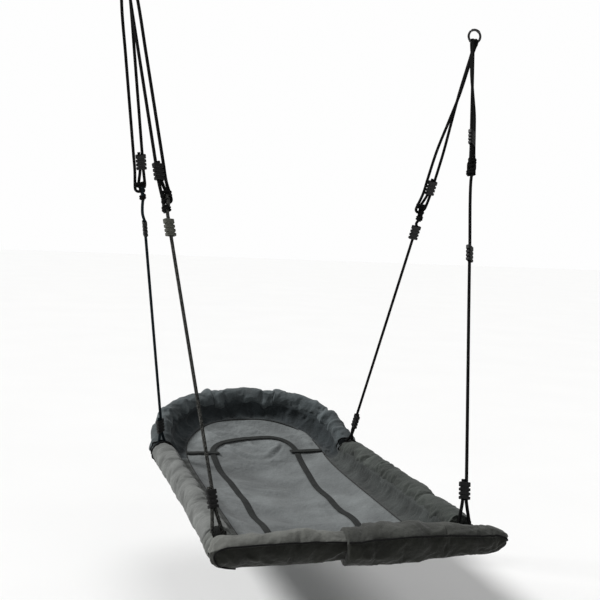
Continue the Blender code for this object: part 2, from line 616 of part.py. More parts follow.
class Corner:
    """One corner's ropes, laid out by the distance up from the rail, the distance across and
    the turn of the strands round the line of pull."""

    def __init__(self, place, tie, hang, loop, low, middle, link, high, spread, turns, hand, shift):
        self.place, self.tie, self.hang, self.loop = place, tie, hang, loop
        self.up = (hang - tie).normalized()
        self.length = (hang - tie).length
        self.across = (Vector((1, 0, 0)) - self.up * self.up.x).normalized()
        self.through = self.up.cross(self.across)
        self.low, self.middle, self.link, self.high = low, middle, link, high
        self.spread, self.hand, self.shift = spread, hand, shift * hand
        self.low_turn, self.middle_turn, self.eye_turn, self.sling_turn, self.high_turn = map(math.radians, turns)

    def side(self, turn):
        return self.across * math.cos(turn) + self.through * math.sin(turn)

    def spot(self, up, across, turn):
        return self.tie + self.up * up + self.side(turn) * across

    def twist(self, start, end, count):
        """Points from one (up, across, turn) to another, easing the turn."""
        if abs(start[2] - end[2]) < 0.01:
            return []
        between = []
        for k in range(1, count):
            part = k / count
            values = [a + (b - a) * part for a, b in zip(start, end)]
            values[2] = start[2] + (end[2] - start[2]) * smooth(part)
            between.append(self.spot(*values))
        return between

    def rail_loop(self, entry):
        """The rope round the rail, from one strand of the low adjuster to the other."""
        reach = math.hypot(STRAND, entry)
        lift = math.atan2(entry, STRAND) - math.acos(self.loop / reach)
        points = []
        for a in [lift - (math.pi + 2 * lift) * k / 14 for k in range(15)]:
            z = self.loop * math.sin(a)
            lean = (z + math.hypot(z, 0.008)) / 2 / self.up.z
            x = self.loop * math.cos(a) + self.up.x * lean
            points.append(self.tie + Vector((x, self.up.y * lean, z)))
        return points, self.loop * math.sin(lift), self.loop * math.cos(lift)

    def lower_rope(self):
        """From the tail beside the eye, round the eye, down through the middle and low
        adjusters, round the rail and up into the low adjuster again."""
        half, low, turn = COMB_TALL / 2, self.low_turn, self.eye_turn
        eye = self.link + LINK - EYE
        points = [self.spot(self.link - d, x, turn) for d, x in ((0.040, -0.0096), (0.031, -0.0104), (0.020, -EYE))]
        points += [self.spot(t, x, turn) for t, x in bend(eye, EYE, math.pi, 0, 8)]
        points += [self.spot(self.link - d, x, turn) for d, x in ((0.020, EYE), (0.030, 0.0070), (0.040, 0.0014))]
        points += [self.spot(self.middle + half, 0, 0), self.spot(self.middle - half, 0, 0)]
        points += [self.spot(self.low + half, STRAND, low), self.spot(self.low - half, STRAND, low)]
        loop, lift, reach = self.rail_loop((self.low - half) * self.up.z)
        foot, door = (lift / self.up.z, reach, 0.0), (self.low - half, STRAND, low)
        points += self.twist(door, foot, 6) + loop
        points += self.twist((foot[0], -reach, 0.0), (door[0], -STRAND, low), 6)
        points += [self.spot(self.low - half, -STRAND, low), self.spot(self.low + half + TAIL, -STRAND, low)]
        return points

    def sling(self):
        half, hand, turn = COMB_TALL / 2, self.hand, self.high_turn
        inner, outer, passing = (x * hand + self.shift for x in (-STRAND, STRAND, -OUTSIDE))
        low = self.link + EYE
        top = self.length - 0.0182 - self.spread
        inside, other = (low, -EYE * hand, self.sling_turn), (low, EYE * hand, self.sling_turn)
        door = (self.high - half, inner, turn)
        points = [self.spot(self.high + half + TAIL, inner, turn), self.spot(*door)]
        points += self.twist(door, inside, 6)
        points += [self.spot(t, -x * hand, self.sling_turn) for t, x in bend(low, EYE, 0, -math.pi, 8)]
        points += self.twist(other, (door[0], outer, turn), 6)
        points += [self.spot(t, outer, turn) for t in (self.high - half, self.high + half)]
        points += [self.spot(t, x * hand, 0.0) for t, x in bend(top, self.spread, 0, math.pi, 8)]
        points += [self.spot(t, passing, turn) for t in (self.high + half + 0.004, self.high - half - 0.002)]
        foot, side = self.link + 0.0007, OUTSIDE - 0.0005
        end = (foot, -side * hand, self.sling_turn)
        points += self.twist((self.high - half - 0.002, passing, turn), end, 6)
        points += [self.spot(t, (x - side + 0.0115) * hand, self.sling_turn)
                   for t, x in bend(foot, 0.0115, math.pi, 1.5 * math.pi, 4)]
        return points + [self.spot(foot - 0.0115, 0.009 * hand, self.sling_turn)]

    def build(self):
        cord(self.place + "_rope", self.lower_rope())
        cord(self.place + "_sling", self.sling())
        for name, t, x, turn in (("low", self.low, 0, self.low_turn), ("middle", self.middle, 0, self.middle_turn),
                                 ("high", self.high, self.shift, self.high_turn)):
            adjuster(f"{self.place}_adjuster_{name}", self.spot(t, x, turn), self.up, self.side(turn))


LEFT_LOOP, RIGHT_LOOP = 0.0188, 0.0212
CORNERS = [
    Corner("near_left", Vector((-HALF_WIDTH, NEAR_TIE, 0)), LEFT_HANG, LEFT_LOOP,
           0.118, 0.888, 0.975, 1.055, 0.014, (30, 30, -60, 30, 30), -1, 0.009),
    Corner("near_right", Vector((HALF_WIDTH, NEAR_TIE, 0)), RIGHT_HANG, RIGHT_LOOP,
           0.117, 0.859, 1.170, 1.263, 0.007, (0, 45, -45, 45, 45), -1, 0.003),
    Corner("far_left", Vector((-HALF_WIDTH, FAR_TIE, 0)), LEFT_HANG, LEFT_LOOP,
           0.109, 0.860, 1.000, 1.088, 0.014, (45, 90, 90, 0, 0), 1, 0.004),
    Corner("far_right", Vector((HALF_WIDTH, FAR_TIE, 0)), RIGHT_HANG, RIGHT_LOOP,
           0.121, 0.899, 0.985, 1.070, 0.007, (90, 0, 90, 0, 0), 1, 0.009),
]
for corner in CORNERS:
    corner.build()

# --- to the frame of the hang points ---------------------------------------------------------

move = Matrix.Translation(-(LEFT_HANG + RIGHT_HANG) / 2)
for obj in bpy.context.scene.collection.objects:
    obj.data.transform(move)
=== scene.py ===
import math
from bisect import bisect

import bmesh
import bpy
import numpy as np
from mathutils import Matrix, Vector


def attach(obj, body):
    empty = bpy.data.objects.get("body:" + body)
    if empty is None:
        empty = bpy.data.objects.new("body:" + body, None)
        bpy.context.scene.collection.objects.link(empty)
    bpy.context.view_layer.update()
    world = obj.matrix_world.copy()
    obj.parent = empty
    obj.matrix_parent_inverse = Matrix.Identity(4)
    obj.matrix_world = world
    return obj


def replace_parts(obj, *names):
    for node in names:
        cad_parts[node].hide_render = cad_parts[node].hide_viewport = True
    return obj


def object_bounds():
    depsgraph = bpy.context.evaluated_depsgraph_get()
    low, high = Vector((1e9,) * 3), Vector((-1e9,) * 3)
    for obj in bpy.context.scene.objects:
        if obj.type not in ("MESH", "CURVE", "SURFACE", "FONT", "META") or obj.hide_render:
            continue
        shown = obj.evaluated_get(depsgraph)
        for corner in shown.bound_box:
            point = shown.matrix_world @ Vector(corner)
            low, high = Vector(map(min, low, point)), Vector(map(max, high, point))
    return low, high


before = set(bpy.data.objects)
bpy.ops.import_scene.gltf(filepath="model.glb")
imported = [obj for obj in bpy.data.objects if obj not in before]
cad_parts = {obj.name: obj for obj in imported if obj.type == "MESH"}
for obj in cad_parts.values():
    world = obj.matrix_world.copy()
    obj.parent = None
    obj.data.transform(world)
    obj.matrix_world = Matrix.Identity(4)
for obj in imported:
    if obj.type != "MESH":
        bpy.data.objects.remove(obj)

cad_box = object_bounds()

# Sizes and places repeat those of the CAD model, in metres, in the seat's own frame: origin in
# the middle of the near tube, X across, Y toward the head end. SEAT moves them to the row's frame.
SEAT = Vector((0.01955, -0.6406, -1.6355))
HALF_WIDTH, RAIL_END, HEAD_RISE = 0.360, 1.141, math.radians(28.5)
HEAD_DEPTH, HEAD_POWER, BEND = 0.304, 2.3, 0.050
SIDE_COVER, HEAD_COVER, LIP = 0.043, 0.042, 0.0165
SIDE_START, SIDE_END, HEAD_START, HEAD_SPLIT = 0.088, 1.050, 1.135, 0.130
NEAR_DROP, NEAR_LEFT, NEAR_RIGHT, SLEEVE_START = 0.006, -0.399, 0.463, -0.030
SEAM_HALF, SEAM_START, SEAM_RISE, SEAM_POWER = 0.267, 1.100, 0.239, 2.4
DECK_START, DECK_DROP, SAG = 0.047, 0.042, 0.043
BAND_UNDER = 0.0447
STRAP_WIDE, STRAP_HALF, STRAP_FLARE, STRAP_TOP = 0.022, 0.148, 0.017, 1.244
ARCH_START, ARCH_WIDE = 1.125, STRAP_HALF + STRAP_FLARE
ARCH_TALL = STRAP_TOP - ARCH_START
CROSS_Y, CROSS_IN, CROSS_OUT = 1.140, 0.139, 0.300
ROPE, NEAR_TIE, FAR_TIE = 0.005, 0.062, 1.110
LEFT_HANG, RIGHT_HANG = Vector((-0.6162, 0.6406, 1.7709)), Vector((0.5771, 0.6406, 1.5001))
EYE_DOWN, HOOK = 0.040, 0.0115  # below the link: where the eye closes, and the sling's last turn
PAIR = 0.0052  # half the distance between the two strands below the ring
EYE, STRAND, OUTSIDE, TAIL = 0.0105, 0.0054, 0.0230, 0.008
LINK = 2 * ROPE + 0.0004
COMB_TALL, COMB_CORE, COMB_CORE_THICK = 0.050, 0.0244, 0.0134
COMB_WIDE, COMB_THICK, COMB_PITCH, COMB_FIN, COMB_TOP_FIN = 0.034, 0.015, 0.0123, 0.0083, 0.0132
SLOT = 0.0058
RING, WIRE = 0.0215, 0.0040
PIN_AT, NOSE_AT, GATE_TIP = math.radians(45), math.radians(131), math.radians(124)
HEEL_AT, GATE_HEEL = math.radians(360 + 29), math.radians(58.5)  # where each wire meets its link


# --- camera ----------------------------------------------------------------------------------

camera = bpy.data.objects.new("camera", bpy.data.cameras.new("camera"))
camera.data.lens, camera.data.sensor_width = 60, 36
camera.data.clip_start, camera.data.clip_end = 0.1, 100
right, up = Vector((0.95983, -0.27685, 0.04566)), Vector((-0.02226, 0.08710, 0.99595))
back = right.cross(up)
turn = Matrix((right, up, back)).transposed().to_4x4()
camera.matrix_world = Matrix.Translation((-0.89745, -3.15400, -0.76750)) @ turn
bpy.context.scene.collection.objects.link(camera)
bpy.context.scene.camera = camera


# --- small tools -----------------------------------------------------------------------------

def ease(x):
    x = np.clip(x, 0.0, 1.0)
    return x * x * (3 - 2 * x)


def run(s0, s1, step):
    count = max(1, math.ceil(abs(s1 - s0) / step - 1e-6))
    return [s0 + (s1 - s0) * k / count for k in range(count + 1)]


def waves(u, v, seed, scale, count=7):
    """A smooth random field of about unit size that never repeats."""
    rng = np.random.default_rng(seed)
    total = 0.0
    for _ in range(count):
        lean, phase = rng.uniform(0, 2 * np.pi, 2)
        k = 2 * np.pi / scale * rng.uniform(0.6, 1.6)
        total = total + np.sin(k * (u * np.cos(lean) + v * np.sin(lean)) + phase)
    return total / math.sqrt(count / 2)


def folds(u, v, seed, pitch, lean, sharp=2.5):
    """Wandering ridges of cloth that fade in and out, from 0 to 1."""
    drift = 0.30 * waves(u, v, seed, pitch * 4)
    phase = (u * math.cos(lean) + v * math.sin(lean)) / pitch + drift
    ridge = (1 - np.abs(np.sin(np.pi * phase))) ** sharp
    return ridge * np.clip(0.35 + 0.8 * waves(u, v, seed + 1, pitch * 3.5), 0, 1)


class Route:
    """A path through points, read by the distance along it, with frames that don't twist."""

    def __init__(self, points, up):
        self.points = [Vector(p) for p in points]
        steps = [b - a for a, b in zip(self.points, self.points[1:])]
        self.at = [0.0]
        for step in steps:
            self.at.append(self.at[-1] + step.length)
        self.length = self.at[-1]
        ways = [step.normalized() for step in steps]
        middles = [(a + b).normalized() for a, b in zip(ways, ways[1:])]
        self.ways = [ways[0], *middles, ways[-1]]
        self.ups, up = [], Vector(up)
        for way in self.ways:
            up = (up - way * up.dot(way)).normalized()
            self.ups.append(up)

    def frame(self, s):
        i = max(0, min(len(self.at) - 2, bisect(self.at, s) - 1))
        part = (s - self.at[i]) / (self.at[i + 1] - self.at[i])
        point = self.points[i] + (self.points[i + 1] - self.points[i]) * part
        part = max(0.0, min(1.0, part))
        way = self.ways[i].lerp(self.ways[i + 1], part).normalized()
        up = self.ups[i].lerp(self.ups[i + 1], part)
        return point, way, (up - way * up.dot(way)).normalized()


def mesh_piece(name, points, faces, body="seat", uvs=None, tint=None, smooth=True, material=None):
    """An object in the row's frame from points in the seat's frame. uvs has a pair for each face
    corner, in metres of cloth, and tint a colour for each point."""
    mesh = bpy.data.meshes.new(name)
    points = np.asarray(points, float).reshape(-1, 3) + np.array(SEAT)
    mesh.from_pydata(points.tolist(), [], faces)
    if uvs is not None:
        mesh.uv_layers.new(name="cloth").data.foreach_set("uv", np.asarray(uvs, float).ravel())
    if tint is not None:
        colour = np.ones((len(points), 4))
        colour[:, :3] = np.asarray(tint, float)
        made = mesh.attributes.new("tint", "FLOAT_COLOR", "POINT")
        made.data.foreach_set("color", colour.ravel())
    mesh.polygons.foreach_set("use_smooth", [smooth] * len(mesh.polygons))
    mesh.validate()
    obj = bpy.data.objects.new(name, mesh)
    bpy.context.scene.collection.objects.link(obj)
    if material:
        mesh.materials.append(material)
    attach(obj, body)
    return obj


def grid_faces(n, m, wrap):
    """Faces of n rows by m columns of points, and the (row, column) of each face's corners."""
    i, j = np.meshgrid(np.arange(n - 1), np.arange(m if wrap else m - 1), indexing="ij")
    i, j = i.ravel(), j.ravel()
    around = ((i, j), (i, j + 1), (i + 1, j + 1), (i + 1, j))
    corners = np.stack([np.stack(pair, 1) for pair in around], 1)
    index = corners[..., 0] * m + corners[..., 1] % m
    return index.tolist(), corners


def grid_piece(name, points, u, v, wrap=False, **more):
    """A piece from an (n, m, 3) grid; u and v are the cloth's own measures."""
    n, m = points.shape[:2]
    faces, corners = grid_faces(n, m, wrap)
    row, column = corners[..., 0], corners[..., 1]
    uvs = np.stack([u[row, column % m], v[row, np.minimum(column, v.shape[1] - 1)]], -1)
    if more.get("tint") is not None:
        more["tint"] = np.broadcast_to(more["tint"], (n, m, 3)).reshape(-1, 3)
    return mesh_piece(name, points, faces, uvs=uvs, **more)


def grid_normals(points, wrap):
    """Unit normals of a grid, out of a closed tube or up from a sheet."""
    along = np.gradient(points, axis=0)
    if wrap:
        across = (np.roll(points, -1, 1) - np.roll(points, 1, 1)) / 2
    else:
        across = np.gradient(points, axis=1)
    normal = np.cross(across, along)
    return normal / np.maximum(np.linalg.norm(normal, axis=2, keepdims=True), 1e-9)


def smooth_line(points, step):
    """Points close together on a smooth line through the given ones."""
    points = [Vector(p) for p in points]
    points = [p for k, p in enumerate(points) if k == 0 or (p - points[k - 1]).length > 1e-5]
    padded = [2 * points[0] - points[1], *points, 2 * points[-1] - points[-2]]
    made = []
    for a, b, c, d in zip(padded, padded[1:], padded[2:], padded[3:]):
        count = max(1, math.ceil((c - b).length / step))
        for k in range(count):
            t = k / count
            before, here, after = (max((q - p).length, 1e-5) ** 0.5
                                   for p, q in ((a, b), (b, c), (c, d)))
            m1 = ((b - a) / before - (c - a) / (before + here) + (c - b) / here) * here
            m2 = ((c - b) / here - (d - b) / (here + after) + (d - c) / after) * here
            start = (2 * t**3 - 3 * t**2 + 1) * b + (t**3 - 2 * t**2 + t) * m1
            made.append(start + (3 * t**2 - 2 * t**3) * c + (t**3 - t**2) * m2)
    return made + [points[-1]]


def tube_mesh(name, path, radius, sides=10, closed=False, caps=True, **more):
    """A round tube along points, with the turn round it and the distance along it as its UV."""
    path = [Vector(p) for p in path]
    if closed:
        path = path + [path[0]]
    route = Route(path, (path[1] - path[0]).orthogonal())
    angles = np.linspace(0, 2 * np.pi, sides, endpoint=False)
    rings, along = [], []
    for k, (p, way, up) in enumerate(zip(route.points, route.ways, route.ups)):
        side = way.cross(up)
        r = radius if not callable(radius) else radius(route.at[k] / route.length)
        rings.append([p + (up * math.cos(a) + side * math.sin(a)) * r for a in angles])
        along.append(route.at[k])
    points = np.array([[tuple(q) for q in ring] for ring in rings])
    n = len(points)
    faces, corners = grid_faces(n, sides, True)
    uvs = np.stack([corners[..., 1] / sides, np.array(along)[corners[..., 0]]], -1)
    uvs = uvs.reshape(-1, 2).tolist()
    if caps and not closed:
        faces += [list(range(sides))[::-1], [(n - 1) * sides + k for k in range(sides)]]
        uvs += [[k / sides, 0.0] for k in range(sides)][::-1]
        uvs += [[k / sides, along[-1]] for k in range(sides)]
    return mesh_piece(name, points, faces, uvs=uvs, **more)


# --- materials -------------------------------------------------------------------------------

class Nodes:
    """A material's node tree, with short calls for the nodes used here."""

    def __init__(self, name, roughness=0.8, metallic=0.0, sheen=0.0, specular=0.5):
        self.material = bpy.data.materials.new(name)
        self.material.use_nodes = True
        self.tree = self.material.node_tree
        self.shader = self.tree.nodes["Principled BSDF"]
        self.shader.inputs["Roughness"].default_value = roughness
        self.shader.inputs["Metallic"].default_value = metallic
        self.shader.inputs["Sheen Weight"].default_value = sheen
        self.shader.inputs["Sheen Roughness"].default_value = 0.5
        self.shader.inputs["Specular IOR Level"].default_value = specular

    def node(self, kind, inputs=(), **settings):
        made = self.tree.nodes.new("ShaderNode" + kind)
        for key, value in settings.items():
            setattr(made, key, value)
        for key, value in dict(inputs).items():
            if isinstance(value, bpy.types.NodeSocket):
                self.tree.links.new(value, made.inputs[key])
            else:
                made.inputs[key].default_value = value
        return made

    def math(self, operation, a, b=0.0, c=0.0):
        return self.node("Math", {0: a, 1: b, 2: c}, operation=operation).outputs[0]

    def coordinates(self, scale=(1, 1, 1), cloth=False):
        if cloth:
            source = self.node("UVMap", uv_map="cloth").outputs["UV"]
        else:
            source = self.node("TexCoord").outputs["Object"]
        return self.node("Mapping", {"Vector": source, "Scale": scale}).outputs["Vector"]

    def noise(self, vector, scale, detail=3.0, low=0.0, high=1.0, start=0.3, end=0.7):
        noise = self.node("TexNoise", {"Vector": vector, "Scale": scale, "Detail": detail})
        ranged = {"Value": noise.outputs["Fac"], 1: start, 2: end, 3: low, 4: high}
        return self.node("MapRange", ranged).outputs["Result"]

    def tinted(self, colour, *factors):
        """A colour times each factor."""
        for factor in factors:
            value = self.node("CombineColor", {0: factor, 1: factor, 2: factor}).outputs[0]
            made = self.node("Mix", data_type="RGBA", blend_type="MULTIPLY")
            made.inputs["Factor"].default_value = 1.0
            for socket, source in ((made.inputs[6], colour), (made.inputs[7], value)):
                if isinstance(source, bpy.types.NodeSocket):
                    self.tree.links.new(source, socket)
                else:
                    socket.default_value = (*source, 1)
            colour = made.outputs[2]
        self.tree.links.new(colour, self.shader.inputs["Base Color"])

    def rough(self, value):
        self.tree.links.new(value, self.shader.inputs["Roughness"])

    def bump(self, *heights):
        """Bumps of (height, distance in metres), one on another."""
        normal = None
        for height, distance in heights:
            inputs = {"Height": height, "Distance": distance, "Strength": 1.0}
            if normal is not None:
                inputs["Normal"] = normal
            normal = self.node("Bump", inputs).outputs["Normal"]
        self.tree.links.new(normal, self.shader.inputs["Normal"])


def fabric(name, thread=0.0011, colour=None, slub=0.14, wrinkle=0.006):
    """Plain woven cloth: threads both ways, uneven yarn, rubbed and mottled colour."""
    m = Nodes(name, 0.9, sheen=0.12, specular=0.25)
    uv = m.coordinates(cloth=True)
    split = m.node("SeparateXYZ", {0: uv})
    turns = 2 * math.pi / (2 * thread)
    warp = m.math("SINE", m.math("MULTIPLY", split.outputs[0], turns))
    weft = m.math("SINE", m.math("MULTIPLY", split.outputs[1], turns))
    weave = m.math("MULTIPLY_ADD", m.math("MULTIPLY", warp, weft), 0.5, 0.5)
    yarn_along = m.noise(m.coordinates((45, 900, 1), cloth=True), 1.0, 2.0)
    yarn_across = m.noise(m.coordinates((900, 45, 1), cloth=True), 1.0, 2.0)
    yarn = m.math("MULTIPLY_ADD", m.math("ADD", yarn_along, yarn_across), slub, 1 - slub)
    mottle = m.noise(m.coordinates(), 14.0, 4.0, 0.86, 1.12)
    cloudy = m.noise(m.coordinates(), 3.2, 2.0, 0.92, 1.08)
    threads = m.math("MULTIPLY_ADD", weave, 0.16, 0.92)
    tint = m.node("Attribute", attribute_name="tint").outputs["Color"] if colour is None else colour
    m.tinted(tint, yarn, mottle, cloudy, threads)
    m.rough(m.noise(m.coordinates(), 30.0, 2.0, 0.82, 0.96))
    creases = m.noise(m.coordinates(), 60.0, 5.0)
    ridges = {"Vector": m.coordinates(), "Scale": 13.0, "Detail": 2.5, "Distortion": 0.6}
    bends = m.node("TexNoise", ridges, noise_type="RIDGED_MULTIFRACTAL")
    m.bump((bends.outputs["Fac"], wrinkle), (creases, 0.0018), (weave, 0.00018), (yarn, 0.0002))
    return m.material


def webbing(name, colour, rib=0.0021):
    """Woven strap: cross ribs, herringbone threads and paler worn edges."""
    m = Nodes(name, 0.75, sheen=0.03, specular=0.25)
    split = m.node("SeparateXYZ", {0: m.coordinates(cloth=True)})
    ribs = m.math("SINE", m.math("MULTIPLY", split.outputs[0], 2 * math.pi / rib))
    lean = m.math("PINGPONG", split.outputs[1], 0.0028)
    slant = m.math("MULTIPLY_ADD", lean, 1.0, split.outputs[0])
    thread = m.math("SINE", m.math("MULTIPLY", slant, 2 * math.pi / 0.0009))
    height = m.math("MULTIPLY_ADD", ribs, 0.35, m.math("MULTIPLY", thread, 0.25))
    wear_and_fold_shade = m.noise(m.coordinates(), 26.0, 4.0, 0.75, 1.35)
    m.tinted(colour, wear_and_fold_shade, m.math("MULTIPLY_ADD", height, 0.5, 1.0))
    m.rough(m.noise(m.coordinates(), 50.0, 2.0, 0.65, 0.85))
    m.bump((height, 0.0003))
    return m.material


def braid(name, colour, fleck, spread=0.35):
    """Sixteen-strand braid, diagonal strands over and under, with paler flecks."""
    m = Nodes(name, 0.85, specular=0.12)
    split = m.node("SeparateXYZ", {0: m.coordinates(cloth=True)})
    round_it = m.math("MULTIPLY", split.outputs[0], 2 * math.pi * 4)
    along = m.math("MULTIPLY", split.outputs[1], 2 * math.pi / 0.0125 * 2)
    one = m.math("SINE", m.math("ADD", round_it, along))
    other = m.math("SINE", m.math("SUBTRACT", round_it, along))
    height = m.math("MULTIPLY", one, other)
    strands = m.math("MAXIMUM", m.math("ABSOLUTE", one), m.math("ABSOLUTE", other))
    lifted = m.math("MULTIPLY_ADD", height, 0.5, 0.5)
    uneven = m.math("MULTIPLY", lifted, m.noise(m.coordinates(), 260.0, 2.0, 0.4, 1.2))
    spots = m.math("GREATER_THAN", uneven, 1 - spread)
    mix = m.node("Mix", {"Factor": spots}, data_type="RGBA")
    mix.inputs[6].default_value, mix.inputs[7].default_value = (*colour, 1), (*fleck, 1)
    mottle = m.noise(m.coordinates(), 18.0, 3.0, 0.8, 1.2)
    m.tinted(mix.outputs[2], mottle, m.math("MULTIPLY_ADD", strands, 0.4, 0.6))
    m.bump((m.math("ADD", lifted, m.math("MULTIPLY", strands, 0.6)), 0.0007))
    return m.material


def plastic(name, colour):
    m = Nodes(name, 0.5, specular=0.3)
    grain = m.noise(m.coordinates(), 900.0, 2.0)
    scuffs = m.noise(m.coordinates((60, 60, 900)), 1.0, 4.0, 0.0, 1.0, 0.55, 0.75)
    mottle = m.noise(m.coordinates(), 40.0, 3.0, 0.8, 1.2)
    m.tinted(colour, mottle, m.math("MULTIPLY_ADD", scuffs, 0.8, 1.0))
    m.rough(m.noise(m.coordinates(), 120.0, 3.0, 0.34, 0.56))
    m.bump((grain, 0.00006), (scuffs, 0.00005))
    return m.material


def steel(name, colour, low, high, stretch=(40, 40, 900)):
    m = Nodes(name, low, metallic=1.0)
    lines = m.noise(m.coordinates(stretch), 1.0, 3.0)
    m.tinted(colour, m.noise(m.coordinates(), 60.0, 4.0, 0.82, 1.05))
    m.rough(m.math("MULTIPLY_ADD", lines, high - low, low))
    m.bump((lines, 0.00002))
    return m.material


def foam(name, colour):
    m = Nodes(name, 0.95)
    cells = m.node("TexVoronoi", {"Vector": m.coordinates(), "Scale": 700.0}).outputs["Distance"]
    mottle = m.noise(m.coordinates(), 20.0, 3.0, 0.85, 1.1)
    m.tinted(colour, mottle, m.math("MULTIPLY_ADD", cells, 0.4, 0.75))
    m.bump((cells, 0.0005))
    return m.material


CLOTH = fabric("woven_fabric")
PANEL_CLOTH = fabric("panel_fabric", wrinkle=0.0025)
WEB = webbing("black_webbing", (0.013, 0.015, 0.014))
PIPE = braid("black_piping", (0.008, 0.008, 0.008), (0.012, 0.012, 0.012))
THREAD = fabric("thread", 0.0005, (0.020, 0.021, 0.020))
PALE_THREAD = fabric("pale_thread", 0.0005, (0.10, 0.105, 0.10))
ROPE_BLACK = braid("rope_black", (0.0025, 0.0025, 0.0025), (0.009, 0.010, 0.010), 0.30)
ROPE_FLECKED = braid("rope_flecked", (0.010, 0.011, 0.010), (0.14, 0.14, 0.13), 0.45)
ROPE_BLUE = braid("rope_blue", (0.005, 0.010, 0.013), (0.022, 0.036, 0.042), 0.35)
COMB = plastic("moulded_plastic", (0.004, 0.004, 0.004))
COMB_GREY = plastic("dusty_plastic", (0.075, 0.076, 0.064))
POLISHED = steel("dark_steel", (0.055, 0.055, 0.056), 0.22, 0.40, (300, 300, 300))
DRAWN = steel("drawn_tube", (0.62, 0.63, 0.63), 0.28, 0.45, (30, 900, 30))
ZINC = steel("zinc_plate", (0.55, 0.56, 0.57), 0.25, 0.42, (200, 200, 200))
FOAM = foam("cell_foam", (0.16, 0.165, 0.165))
for name, o in ((n, bpy.data.objects.get(n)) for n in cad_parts):
    if o is None:
        continue
    look = DRAWN if name.startswith("frame") else ZINC if name.startswith("screw") else FOAM
    look = POLISHED if "ring" in name else COMB if "adjuster" in name else look
    o.data.materials.clear()
    o.data.materials.append(look)


# --- ropes -----------------------------------------------------------------------------------

def bend(middle, radius, start, end, count):
    """(distance up, distance across) pairs round a bend in the plane of the ropes."""
    angles = [start + (end - start) * k / count for k in range(count + 1)]
    return [(middle + radius * math.sin(a), radius * math.cos(a)) for a in angles]


